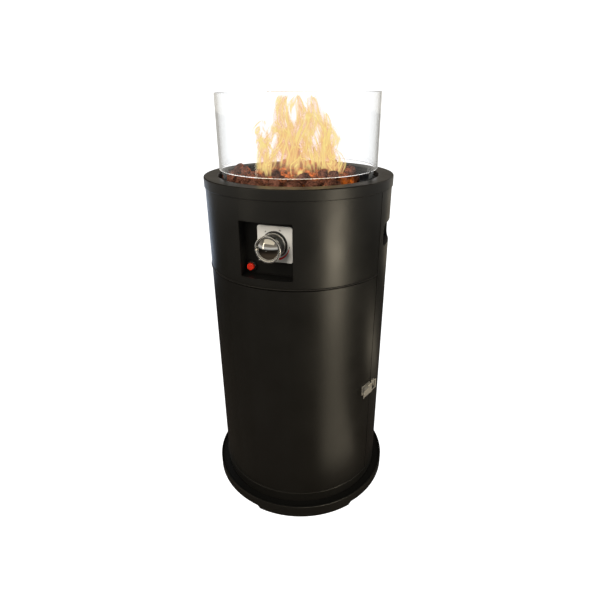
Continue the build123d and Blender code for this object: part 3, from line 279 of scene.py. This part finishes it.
rockLook = {
    # dark is painted shade, laid into the pores
    "dark": "#120c0a", "middle": "#40281e", "light": "#86594a",
    "patchMm": 14, "patchSpread": (0.38, 0.62),
    "poreMm": 2.8, "poreEdge": (0.12, 0.5), "poreStrength": 0.9, "poreDepthMm": 1.2,
    "roughness": 0.92, "specular": 0.2,
    # painted glow: orange emission on the rocks, near the axis and low in the gaps, standing in for
    # the flames' light
    "paintedFlameGlow": "#ff8226", "paintedFlameGlowStrength": 3,
    "paintedFlameGlowRadius": (0.13, 0.03),  # from the axis: none, then full
    "paintedFlameGlowLevel": (0.799, 0.782),
}


def redScoria():
    # Scoria, broken lava: rust brown, full of pores painted near-black as painted shade in the
    # pits, with a painted orange glow low in the gaps near the middle that stands in for the
    # flames' light
    material, tree = startMaterial("brokenRedScoria")
    where = addNode(tree, "ShaderNodeTexCoord")
    patch = addNode(tree, "ShaderNodeTexNoise",
                    {"Scale": perMetre(rockLook["patchMm"]), "Detail": 5, "Roughness": 0.65},
                    {"Vector": where.outputs["Object"]})
    pores = addNode(tree, "ShaderNodeTexVoronoi", {"Scale": perMetre(rockLook["poreMm"])},
                    {"Vector": where.outputs["Object"]})
    spread = addNode(tree, "ShaderNodeMapRange",
                     {"From Min": rockLook["patchSpread"][0],
                      "From Max": rockLook["patchSpread"][1]},
                     {"Value": patch.outputs[0]})
    rust = addNode(tree, "ShaderNodeMix",
                   {"data_type": "RGBA",
                    6: hexColour(rockLook["middle"]), 7: hexColour(rockLook["light"])},
                   {0: spread.outputs[0]})
    # painted shade: each pore darkens to near-black towards its middle, the shade that falls in the
    # pits
    poreShadeMask = addNode(tree, "ShaderNodeMapRange",
                       {"From Min": rockLook["poreEdge"][0], "From Max": rockLook["poreEdge"][1]},
                       {"Value": pores.outputs["Distance"]})
    tone = addNode(tree, "ShaderNodeMix", {"data_type": "RGBA", 6: hexColour(rockLook["dark"])},
                   {0: poreShadeMask.outputs[0], 7: rust.outputs[2]})
    bump = addNode(tree, "ShaderNodeBump",
                   {"Strength": rockLook["poreStrength"],
                    "Distance": rockLook["poreDepthMm"] / 1000},
                   {"Height": pores.outputs["Distance"]})
    # painted glow of the flames' light: strongest near the axis, low down and on the lighter
    # patches
    spot = addNode(tree, "ShaderNodeSeparateXYZ", None, {0: where.outputs["Object"]})
    flat = addNode(tree, "ShaderNodeCombineXYZ", None, {0: spot.outputs[0], 1: spot.outputs[1]})
    reach = addNode(tree, "ShaderNodeVectorMath", {"operation": "LENGTH"}, {0: flat.outputs[0]})
    near = addNode(tree, "ShaderNodeMapRange",
                   {"From Min": rockLook["paintedFlameGlowRadius"][0], "From Max": rockLook["paintedFlameGlowRadius"][1]},
                   {"Value": reach.outputs["Value"]})
    deep = addNode(tree, "ShaderNodeMapRange",
                   {"From Min": rockLook["paintedFlameGlowLevel"][0], "From Max": rockLook["paintedFlameGlowLevel"][1]},
                   {"Value": spot.outputs[2]})
    lowNear = addNode(tree, "ShaderNodeMath", {"operation": "MULTIPLY"},
                      {0: near.outputs[0], 1: deep.outputs[0]})
    broken = addNode(tree, "ShaderNodeMath", {"operation": "MULTIPLY"},
                     {0: lowNear.outputs[0], 1: spread.outputs[0]})
    paintedFlameGlow = addNode(tree, "ShaderNodeMath", {"operation": "MULTIPLY", 1: rockLook["paintedFlameGlowStrength"]},
                    {0: broken.outputs[0]})
    shader = addNode(tree, "ShaderNodeBsdfPrincipled",
                     {"Roughness": rockLook["roughness"],
                      "Specular IOR Level": rockLook["specular"],
                      "Emission Color": hexColour(rockLook["paintedFlameGlow"])},
                     {"Base Color": tone.outputs[2], "Normal": bump.outputs[0],
                      "Emission Strength": paintedFlameGlow.outputs[0]})
    endMaterial(tree, shader)
    return material


flameLook = {
    "thread": "#ffe58c", "veil": "#f3a878",
    "veilAlpha": 0.18, "threadAlpha": 0.9,
    "threadWidth": 0.085,
    "threadScale": (0.85, 0.75, 1), "threadCurl": 2.2,
    "sideFade": (0.5, 0.3),  # from the middle line of the tongue: clear, then full
    "footFade": 0.2, "tipFade": 0.94,  # of its height
}


def gasFlame():
    # Burning gas: pale yellow threads in a thin peach veil, clear at its edges
    material, tree = startMaterial("yellowGasFlame")
    where = addNode(tree, "ShaderNodeTexCoord")
    parts = addNode(tree, "ShaderNodeSeparateXYZ", None, {0: where.outputs["UV"]})
    stretch = addNode(tree, "ShaderNodeMapping", {"Scale": flameLook["threadScale"]},
                      {"Vector": where.outputs["UV"]})
    swirl = addNode(tree, "ShaderNodeTexNoise",
                    {"Scale": 1, "Detail": 2, "Distortion": flameLook["threadCurl"]},
                    {"Vector": stretch.outputs[0]})
    ridge = addNode(tree, "ShaderNodeMath", {"operation": "SUBTRACT", 1: 0.5},
                    {0: swirl.outputs[0]})
    fold = addNode(tree, "ShaderNodeMath", {"operation": "ABSOLUTE"}, {0: ridge.outputs[0]})
    thread = addNode(tree, "ShaderNodeMapRange",
                     {"interpolation_type": "SMOOTHSTEP",
                      "From Min": 0.0, "From Max": flameLook["threadWidth"],
                      "To Min": 1.0, "To Max": 0.0},
                     {"Value": fold.outputs[0]})
    across = addNode(tree, "ShaderNodeMath", {"operation": "FRACT"}, {0: parts.outputs[0]})
    off = addNode(tree, "ShaderNodeMath", {"operation": "SUBTRACT", 1: 0.5}, {0: across.outputs[0]})
    side = addNode(tree, "ShaderNodeMath", {"operation": "ABSOLUTE"}, {0: off.outputs[0]})
    soft = addNode(tree, "ShaderNodeMapRange",
                   {"interpolation_type": "SMOOTHSTEP",
                    "From Min": flameLook["sideFade"][0], "From Max": flameLook["sideFade"][1]},
                   {"Value": side.outputs[0]})
    foot = addNode(tree, "ShaderNodeMapRange",
                   {"interpolation_type": "SMOOTHSTEP",
                    "From Min": 0.0, "From Max": flameLook["footFade"]},
                   {"Value": parts.outputs[1]})
    tip = addNode(tree, "ShaderNodeMapRange",
                  {"interpolation_type": "SMOOTHSTEP",
                   "From Min": 1.0, "From Max": flameLook["tipFade"]},
                  {"Value": parts.outputs[1]})
    ends = addNode(tree, "ShaderNodeMath", {"operation": "MULTIPLY"},
                   {0: foot.outputs[0], 1: tip.outputs[0]})
    shape = addNode(tree, "ShaderNodeMath", {"operation": "MULTIPLY"},
                    {0: ends.outputs[0], 1: soft.outputs[0]})
    density = addNode(tree, "ShaderNodeMapRange",
                      {"To Min": flameLook["veilAlpha"], "To Max": flameLook["threadAlpha"]},
                      {"Value": thread.outputs[0]})
    solid = addNode(tree, "ShaderNodeMath", {"operation": "MULTIPLY"},
                    {0: shape.outputs[0], 1: density.outputs[0]})
    tone = addNode(tree, "ShaderNodeMix",
                   {"data_type": "RGBA",
                    6: hexColour(flameLook["veil"]), 7: hexColour(flameLook["thread"])},
                   {0: thread.outputs[0]})
    shader = addNode(tree, "ShaderNodeBsdfPrincipled",
                     {"Base Color": (0, 0, 0, 1), "Roughness": 1, "Specular IOR Level": 0,
                      "Emission Strength": 1.0},
                     {"Emission Color": tone.outputs[2], "Alpha": solid.outputs[0]})
    endMaterial(tree, shader)
    return material


# Stove paint, brushed or sprayed on the hidden sheets: the same black with less sheen
stovePaint = {**coatLook, "dark": "#070706", "light": "#0b0b0a",
              "roughness": (0.5, 0.6), "specular": 0.25}

powderCoat = polyesterPowderCoat("charcoalPowderCoat", coatLook)
blackPaint = polyesterPowderCoat("blackStovePaint", stovePaint)
zincPlate = grainedMetal("brightZincPlate", metalLook["zinc"])
stainless = grainedMetal("brushedStainless", metalLook["stainless"])
blackAbs = mouldedSurface("blackMouldedAbs", mouldedLook["blackAbs"])

# which nodes of the frame take which finish
finishes = [
    (powderCoat, ["base_rim", "collar_ring", "rear_shell", "upper_front_shell", "front_door",
                  "top_cap"]),
    (blackPaint, ["base_floor", "bottle_ring", "posts", "partition_plate", "seam_straps",
                  "control_box"]),
    (zincPlate, ["bowl_support", "heat_shield", "shield_standoffs", "hinge_pins",
                 "valve_spring", "gas_pipe",
                 "latch_base", "latch_pivot", "latch_lever", "latch_bail", "latch_keeper"]),
    (stainless, ["fire_bowl", "rock_tray", "burner_ring", "mixer_tube", "glass_tabs",
                 "electrode_rod", "thermocouple", "valve_stem"]),
    (grainedMetal("blackenedSteel", metalLook["darkSteel"]),
     ["hinge_fixed_leaves", "hinge_door_leaves", "hinge_fixed_screws", "hinge_door_screws",
      "body_screws"]),
    (grainedMetal("castAluminium", metalLook["castAluminium"]), ["gas_valve"]),
    (grainedMetal("turnedBrass", metalLook["brass"]), ["injector", "hose_inlet", "valve_plunger"]),
    (mouldedSurface("satinSilverLacquer", mouldedLook["silverLacquer"]), ["control_plate"]),
    (chromePlate("polishedChromePlate", chromeLook["mirror"]), ["knob_dome"]),
    (chromePlate("brushedChromePlate", chromeLook["satin"]), ["knob_rear_ring", "knob_front_ring"]),
    (blackAbs, ["knob_skirt", "knob_collar", "igniter_collar", "igniter_body",
                "left_grip", "right_grip"]),
    (mouldedSurface("redMouldedAbs", mouldedLook["redAbs"]), ["igniter_button"]),
    (mouldedSurface("redScreenInk", mouldedLook["redInk"]), ["scale_arc"]),
    (mouldedSurface("blackScreenInk", mouldedLook["blackInk"]), ["scale_marks"]),
    (mouldedSurface("greySilicone", mouldedLook["silicone"]), ["glass_pads"]),
    (mouldedSurface("blackRubber", mouldedLook["rubber"]),
     ["foot_pads", "spark_lead", "thermocouple_lead"]),
    (mouldedSurface("firedAlumina", mouldedLook["alumina"]), ["spark_electrode"]),
    (borosilicateGlass(), ["glass_guard"]),
]

for material, names in finishes:
    for name in names:
        nodes[name].data.materials.clear()
        nodes[name].data.materials.append(material)


def groundEdge():
    # The cut lower edge of the tube, ground flat: a fine white line all the way round, brightened
    # by a painted glow
    tube = nodes["glass_guard"]
    tube.data.materials.append(mouldedSurface("groundGlassEdgePaintedGlow", mouldedLook["groundGlass"]))
    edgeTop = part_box("glass_guard")[0].z + glassLook["edgeMm"] / 1000
    for face in tube.data.polygons:
        if all(tube.data.vertices[i].co.z < edgeTop for i in face.vertices):
            face.material_index = 1


groundEdge()
print("finishes set:", len(finishes))


rockShape = {
    "seed": 11,
    "swell": 1.2,  # rocks grow past the plain stones of the frame, to close the gaps
    "longest": 1.35,
    "flattest": 0.82,
    "core": 0.86,  # share of its radius that a stone keeps before lumps and breaks
    "lumps": 0.30, "lumpScale": 1.1,
    "edges": 0.16, "edgeScale": 1.5,
    "pits": 0.24, "pitScale": 4.2, "pitReach": 0.42,
    "fine": 0.035, "fineScale": 9,
    "noiseReach": 50,
    "rise": 0.004,
    "bareFrom": 0.118,  # stones further out than this are left out beside the back wall
    "bareSides": ((50, 128), (178, 262)),  # azimuths from the front
}


def plainStones(mesh):
    # centre and radius of each closed shell in the node
    bm = bmesh.new()
    bm.from_mesh(mesh)
    bmesh.ops.remove_doubles(bm, verts=bm.verts, dist=1e-6)
    bm.verts.ensure_lookup_table()
    seen, found = set(), []
    for start in bm.verts:
        if start.index in seen:
            continue
        seen.add(start.index)
        queue, shell = [start], []
        while queue:
            vert = queue.pop()
            shell.append(vert.co.copy())
            for edge in vert.link_edges:
                other = edge.other_vert(vert)
                if other.index not in seen:
                    seen.add(other.index)
                    queue.append(other)
        low = Vector([min(c[i] for c in shell) for i in range(3)])
        high = Vector([max(c[i] for c in shell) for i in range(3)])
        found.append(((low + high) / 2, (high.z - low.z) / 2))
    bm.free()
    return sorted(found, key=lambda stone: tuple(round(c, 5) for c in stone[0]))


def brokenStone(bm, centre, radius, wall, ceiling, floorZ, draw):
    # one stone: a ball pushed into lumps, flat breaks and pits
    made = bmesh.ops.create_icosphere(bm, subdivisions=4, radius=1)
    spin = Matrix.Rotation(draw.uniform(0, math.tau), 3, "Z")
    turn = spin @ Matrix.Rotation(draw.uniform(0, math.tau), 3, "X")
    length, depth = draw.uniform(1, rockShape["longest"]), draw.uniform(rockShape["flattest"], 1)
    # each stone reads its own patch of the noise
    reach = rockShape["noiseReach"]
    place = Vector([draw.uniform(-reach, reach) for axis in range(3)])
    for vert in made["verts"]:
        way = vert.co.normalized()
        lump = noise.noise(way * rockShape["lumpScale"] + place) * rockShape["lumps"]
        cut = noise.voronoi(way * rockShape["edgeScale"] + place)[0]
        edge = (cut[1] - cut[0]) * rockShape["edges"]
        pit = noise.voronoi(way * rockShape["pitScale"] + place)[0][0]
        hole = max(0, rockShape["pitReach"] - pit) * rockShape["pits"]
        fine = noise.noise(way * rockShape["fineScale"] + place) * rockShape["fine"]
        size = radius * rockShape["swell"] * (rockShape["core"] + lump + edge - hole + fine)
        spot = turn @ Vector((way.x * length, way.y, way.z * depth)) * size + centre
        out = math.hypot(spot.x, spot.y)
        if out > wall:
            spot.x, spot.y = spot.x * wall / out, spot.y * wall / out
        spot.z = min(max(spot.z, floorZ), ceiling)
        vert.co = spot


def lavaRocks():
    stones = plainStones(nodes["lava_rocks"].data)
    bottom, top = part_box("lava_rocks")
    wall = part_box("rock_tray")[1].x
    draw = random.Random(rockShape["seed"])
    mesh = bpy.data.meshes.new("lavaRockBed")
    bm = bmesh.new()
    for centre, radius in stones:
        azimuth = math.degrees(math.atan2(centre.x, -centre.y)) % 360
        outer = math.hypot(centre.x, centre.y) > rockShape["bareFrom"]
        if outer and any(low < azimuth < high for low, high in rockShape["bareSides"]):
            continue
        brokenStone(bm, centre, radius, wall, top.z + rockShape["rise"], bottom.z, draw)
    for face in bm.faces:
        face.smooth = True
    bm.to_mesh(mesh)
    bm.free()
    bed = bpy.data.objects.new("lava_rock_bed", mesh)
    bpy.context.scene.collection.objects.link(bed)
    mesh.materials.append(redScoria())
    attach(bed, "housing")
    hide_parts("lava_rocks")
    print("lava rocks:", len(stones), "stones,", len(mesh.polygons), "faces")
    return top.z


rockTop = lavaRocks()


flameShape = {
    "seed": 5,
    "count": 34,
    "reach": 0.098,  # a little past the burner ring
    "height": (0.05, 0.185),
    "heightDraw": (0.35, 1.3),  # by chance, and by how near the middle it stands
    "width": (0.03, 0.075),
    "belly": (0.6, 0.7),  # share of the width at the foot, and how much of it the rise adds
    "thinnest": 0.0004,
    "footDepth": 0.016,  # below the tops of the rocks
    "headroom": 0.001,  # left under the top of the glass
    "facing": 0.9,  # radians either way from square to the usual view
    "sway": (0.007, 0.017), "swayTurns": 5.5, "swayAtFoot": 0.3,
    "twist": 0.8,
    "lean": -0.22,  # towards the middle
    "curl": 0.35,
    "steps": 26,
    "columns": 4,
    "margin": 0.001,  # keeps U off the whole numbers
}


def flameTongue(bm, uvLayer, index, draw):
    # a thin upright ribbon that sways, swells and closes to a point
    angle = draw.uniform(0, math.tau)
    out = flameShape["reach"] * math.sqrt(draw.random())
    low, high = flameShape["height"]
    byChance, byPlace = flameShape["heightDraw"]
    near = 1 - out / flameShape["reach"]
    height = low + (high - low) * min(1, byChance * draw.random() + byPlace * near)
    width = draw.uniform(*flameShape["width"])
    outward = Vector((math.cos(angle), math.sin(angle), 0))
    foot = outward * out + Vector((0, 0, rockTop - flameShape["footDepth"]))
    height = min(height, cadBox[1].z - flameShape["headroom"] - foot.z)
    facing = draw.uniform(-flameShape["facing"], flameShape["facing"])
    facing += math.radians(cameraLook["azimuth"])
    sideways = Vector((math.cos(facing), math.sin(facing), 0))
    sway, phase = draw.uniform(*flameShape["sway"]), draw.uniform(0, math.tau)
    twist = draw.uniform(-flameShape["twist"], flameShape["twist"])
    lean = outward * flameShape["lean"] * out
    steps, columns = flameShape["steps"], flameShape["columns"]
    atFoot, added = flameShape["belly"]
    rows = []
    for step in range(steps + 1):
        v = step / steps
        # wider to the middle of its height, then to a point
        half = width / 2 * (atFoot + added * v) * (1 - v) ** 0.5 + flameShape["thinnest"]
        middle = foot + lean * v + Vector((0, 0, height * v))
        swing = math.sin(phase + flameShape["swayTurns"] * v)
        middle += sideways * sway * swing * (flameShape["swayAtFoot"] + v)
        across = Matrix.Rotation(twist * v, 3, "Z") @ sideways
        curl = across.cross(Vector((0, 0, 1))) * half * flameShape["curl"]
        sides = [2 * column / columns - 1 for column in range(columns + 1)]
        spots = [middle + across * half * side + curl * (side * side - 0.5) for side in sides]
        rows.append([bm.verts.new(spot) for spot in spots])
    for row in range(steps):
        for column in range(columns):
            # U runs across, one whole number per tongue, and V runs up
            corners = ((column, row), (column + 1, row), (column + 1, row + 1), (column, row + 1))
            face = bm.faces.new([rows[r][c] for c, r in corners])
            face.smooth = True
            for loop, (c, r) in zip(face.loops, corners):
                u = min(max(c / columns, flameShape["margin"]), 1 - flameShape["margin"])
                loop[uvLayer].uv = (index + u, r / steps)


def gasFlames():
    draw = random.Random(flameShape["seed"])
    mesh = bpy.data.meshes.new("gasFlames")
    bm = bmesh.new()
    uvLayer = bm.loops.layers.uv.new("UVMap")
    for index in range(flameShape["count"]):
        flameTongue(bm, uvLayer, index, draw)
    bm.to_mesh(mesh)
    bm.free()
    flames = bpy.data.objects.new("gas_flames", mesh)
    bpy.context.scene.collection.objects.link(flames)
    mesh.materials.append(gasFlame())
    flames.visible_shadow = False
    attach(flames, "housing")
    print("flames:", flameShape["count"])


cameraLook = {
    "azimuth": 19.3,  # from the front, towards +X
    "distance": 1.0249,
    "height": 0.9461,
    "turn": 0.0445,  # degrees, as are down and roll
    "down": 24.136,
    "roll": -0.489,
    "lens": 27.03, "sensor": 36,
}


def standCamera():
    down, turn, roll = (math.radians(cameraLook[key]) for key in ("down", "turn", "roll"))
    ahead = Vector((math.sin(turn) * math.cos(down), math.cos(turn) * math.cos(down),
                    -math.sin(down)))
    right = ahead.cross(Vector((0, 0, 1))).normalized()
    up = right.cross(ahead)
    c, s = math.cos(roll), math.sin(roll)
    right, up = right * c + up * s, up * c - right * s
    swing = Matrix.Rotation(math.radians(cameraLook["azimuth"]), 3, "Z")
    facing = swing @ Matrix((right, up, -ahead)).transposed()
    spot = swing @ Vector((0, -cameraLook["distance"], cameraLook["height"]))
    data = bpy.data.cameras.new("camera")
    data.lens, data.sensor_width = cameraLook["lens"], cameraLook["sensor"]
    camera = bpy.data.objects.new("camera", data)
    camera.matrix_world = Matrix.Translation(spot) @ facing.to_4x4()
    bpy.context.scene.collection.objects.link(camera)
    bpy.context.scene.camera = camera


gasFlames()
standCamera()
print("camera placed")


studio = {
    "background": 1.3,  # over white, so that clear glass in front of it stays white
    "horizon": "#dedad2",
    "wall": "#8e8577",
    "zenith": "#3a3a3a",
    "wallBand": (0.04, 0.15),  # upward part of the view direction
    "zenithBand": (0.2, 0.8),
    "floorSeen": 1.3,
    # what reflections see of the floor: painted lighter near the foot, a painted pool of light that
    # the lower body mirrors, darker further off, then pale far away
    "floorColour": ("#4a423a", "#1f1b17"),
    "floorNear": (0.7, 1.4),  # metres
    "floorFar": (3.2, 6.5),
    "haze": 0.6, "hazeColour": "#f2efe8",
    "floorHalf": 30,
}

# Azimuth from the front in degrees, metres, watts. A lying lamp shines up from the floor.
# They stay low, where the body mirrors them and the glass does not.
lamps = {
    "keyUpright": {"azimuth": 61, "distance": 1.55, "height": 0.28,
                   "size": (0.5, 0.54), "watts": 8.0},
    "keyFloorFar": {"azimuth": 61, "distance": 1.15, "height": 0.004,
                    "size": (0.4, 0.7), "watts": 1.1, "lying": True},
    "keyFloorNear": {"azimuth": 60, "distance": 0.56, "height": 0.004,
                     "size": (0.26, 0.46), "watts": 0.42, "lying": True},
    "coolRim": {"azimuth": -128, "distance": 1.7, "height": 0.26,
                "size": (0.9, 0.5), "watts": 2.0, "colour": "#d6e6ff"},
    "farRim": {"azimuth": 160, "distance": 1.7, "height": 0.26,
               "size": (0.6, 0.5), "watts": 0.6},
    "latchKick": {"azimuth": 123, "distance": 0.95, "height": 0.004,
                  "size": (0.3, 0.5), "watts": 0.5, "lying": True},
    "frontFill": {"azimuth": -12, "distance": 2.4, "height": 1.9,
                  "size": (1.2, 1.2), "watts": 68, "colour": "#fff4e4", "mirrored": False},
    "domeStrip": {"azimuth": -38, "distance": 1.6, "height": 0.9,
                  "size": (0.1, 0.9), "watts": 1.1},
    "overhead": {"azimuth": -5, "distance": 1.4, "height": 2.0,
                 "size": (2.6, 1.4), "watts": 8, "diffused": False},
}

lampColour = "#fff1d4"
aimHeight = 0.5  # lamps look at the axis, no higher than this


def softLight(name, look):
    data = bpy.data.lights.new(name, "AREA")
    data.shape, (data.size, data.size_y) = "RECTANGLE", look["size"]
    data.energy, data.color = look["watts"], hexColour(look.get("colour", lampColour))[:3]
    lamp = bpy.data.objects.new(name, data)
    turn, distance = math.radians(look["azimuth"]), look["distance"]
    lamp.location = (distance * math.sin(turn), -distance * math.cos(turn), look["height"])
    if look.get("lying"):
        lamp.rotation_euler = (math.pi, 0, turn)
    else:
        aim = Vector((0, 0, min(look["height"], aimHeight))) - lamp.location
        lamp.rotation_euler = aim.to_track_quat("-Z", "Y").to_euler()
    lamp.visible_camera = lamp.visible_transmission = False
    lamp.visible_glossy = look.get("mirrored", True)
    lamp.visible_diffuse = look.get("diffused", True)
    bpy.context.scene.collection.objects.link(lamp)


# The flames' own light on the rocks and the bowl
glowLook = {
    "spots": ((-0.05, -0.04), (0.06, -0.02), (0, 0.06)),
    "rise": 0.03,  # over the rocks
    "radius": 0.03,
    "watts": 0.3,
    "colour": "#ffb066",
}


def fireGlow():
    for x, y in glowLook["spots"]:
        data = bpy.data.lights.new("fireGlow", "POINT")
        data.energy, data.color = glowLook["watts"], hexColour(glowLook["colour"])[:3]
        data.shadow_soft_size = glowLook["radius"]
        glow = bpy.data.objects.new("fireGlow", data)
        glow.location = (x, y, rockTop + glowLook["rise"])
        glow.visible_camera = glow.visible_transmission = glow.visible_glossy = False
        bpy.context.scene.collection.objects.link(glow)


def seenDirectly(tree):
    # 1 for what is seen straight or through glass, 0 for what surfaces pick up by reflection
    path = addNode(tree, "ShaderNodeLightPath")
    bounces = addNode(tree, "ShaderNodeMath", {"operation": "ADD"},
                      {0: path.outputs["Glossy Depth"], 1: path.outputs["Diffuse Depth"]})
    return addNode(tree, "ShaderNodeMath", {"operation": "LESS_THAN", 1: 0.5},
                   {0: bounces.outputs[0]})


def studioWorld():
    world = bpy.data.worlds.new("studio")
    world.use_nodes = True
    tree = world.node_tree
    tree.nodes.clear()
    where = addNode(tree, "ShaderNodeTexCoord")
    parts = addNode(tree, "ShaderNodeSeparateXYZ", None, {0: where.outputs["Generated"]})
    low = addNode(tree, "ShaderNodeMapRange",
                  {"From Min": studio["wallBand"][0], "From Max": studio["wallBand"][1]},
                  {"Value": parts.outputs[2]})
    high = addNode(tree, "ShaderNodeMapRange",
                   {"From Min": studio["zenithBand"][0], "From Max": studio["zenithBand"][1]},
                   {"Value": parts.outputs[2]})
    wall = addNode(tree, "ShaderNodeMix",
                   {"data_type": "RGBA",
                    6: hexColour(studio["horizon"]), 7: hexColour(studio["wall"])},
                   {0: low.outputs[0]})
    sky = addNode(tree, "ShaderNodeMix", {"data_type": "RGBA", 7: hexColour(studio["zenith"])},
                  {0: high.outputs[0], 6: wall.outputs[2]})
    white = addNode(tree, "ShaderNodeBackground",
                    {"Color": (1, 1, 1, 1), "Strength": studio["background"]})
    fill = addNode(tree, "ShaderNodeBackground", {"Strength": 1}, {"Color": sky.outputs[2]})
    both = addNode(tree, "ShaderNodeMixShader", None,
                   {0: seenDirectly(tree).outputs[0], 1: fill.outputs[0], 2: white.outputs[0]})
    addNode(tree, "ShaderNodeOutputWorld", None, {"Surface": both.outputs[0]})
    bpy.context.scene.world = world


def paleFloor():
    mesh = bpy.data.meshes.new("floor")
    half = studio["floorHalf"]
    mesh.from_pydata([(-half, -half, 0), (half, -half, 0), (half, half, 0), (-half, half, 0)],
                     [], [(0, 1, 2, 3)])
    floor = bpy.data.objects.new("floor", mesh)
    bpy.context.scene.collection.objects.link(floor)
    material, tree = startMaterial("paleStudioFloor")
    where = addNode(tree, "ShaderNodeTexCoord")
    reach = addNode(tree, "ShaderNodeVectorMath", {"operation": "LENGTH"},
                    {0: where.outputs["Object"]})
    off = addNode(tree, "ShaderNodeMapRange",
                  {"From Min": studio["floorNear"][0], "From Max": studio["floorNear"][1]},
                  {"Value": reach.outputs["Value"]})
    # painted pool of light: the floor, as reflections see it, is lighter near the foot
    tone = addNode(tree, "ShaderNodeMix",
                   {"data_type": "RGBA", 6: hexColour(studio["floorColour"][0]),
                    7: hexColour(studio["floorColour"][1])},
                   {0: off.outputs[0]})
    matt = addNode(tree, "ShaderNodeBsdfDiffuse", None, {"Color": tone.outputs[2]})
    glow = addNode(tree, "ShaderNodeEmission",
                   {"Color": (1, 1, 1, 1), "Strength": studio["floorSeen"]})
    lit = addNode(tree, "ShaderNodeAddShader", None, {0: matt.outputs[0], 1: glow.outputs[0]})
    far = addNode(tree, "ShaderNodeMapRange",
                  {"From Min": studio["floorFar"][0], "From Max": studio["floorFar"][1]},
                  {"Value": reach.outputs["Value"]})
    haze = addNode(tree, "ShaderNodeEmission",
                   {"Color": hexColour(studio["hazeColour"]), "Strength": studio["haze"]})
    unseen = addNode(tree, "ShaderNodeMixShader", None,
                     {0: far.outputs[0], 1: matt.outputs[0], 2: haze.outputs[0]})
    both = addNode(tree, "ShaderNodeMixShader", None,
                   {0: seenDirectly(tree).outputs[0], 1: unseen.outputs[0], 2: lit.outputs[0]})
    endMaterial(tree, both)
    mesh.materials.append(material)


for name, look in lamps.items():
    softLight(name, look)
fireGlow()
studioWorld()
paleFloor()
bpy.context.scene.view_settings.view_transform = "Standard"
print("studio set:", len(lamps), "lamps")
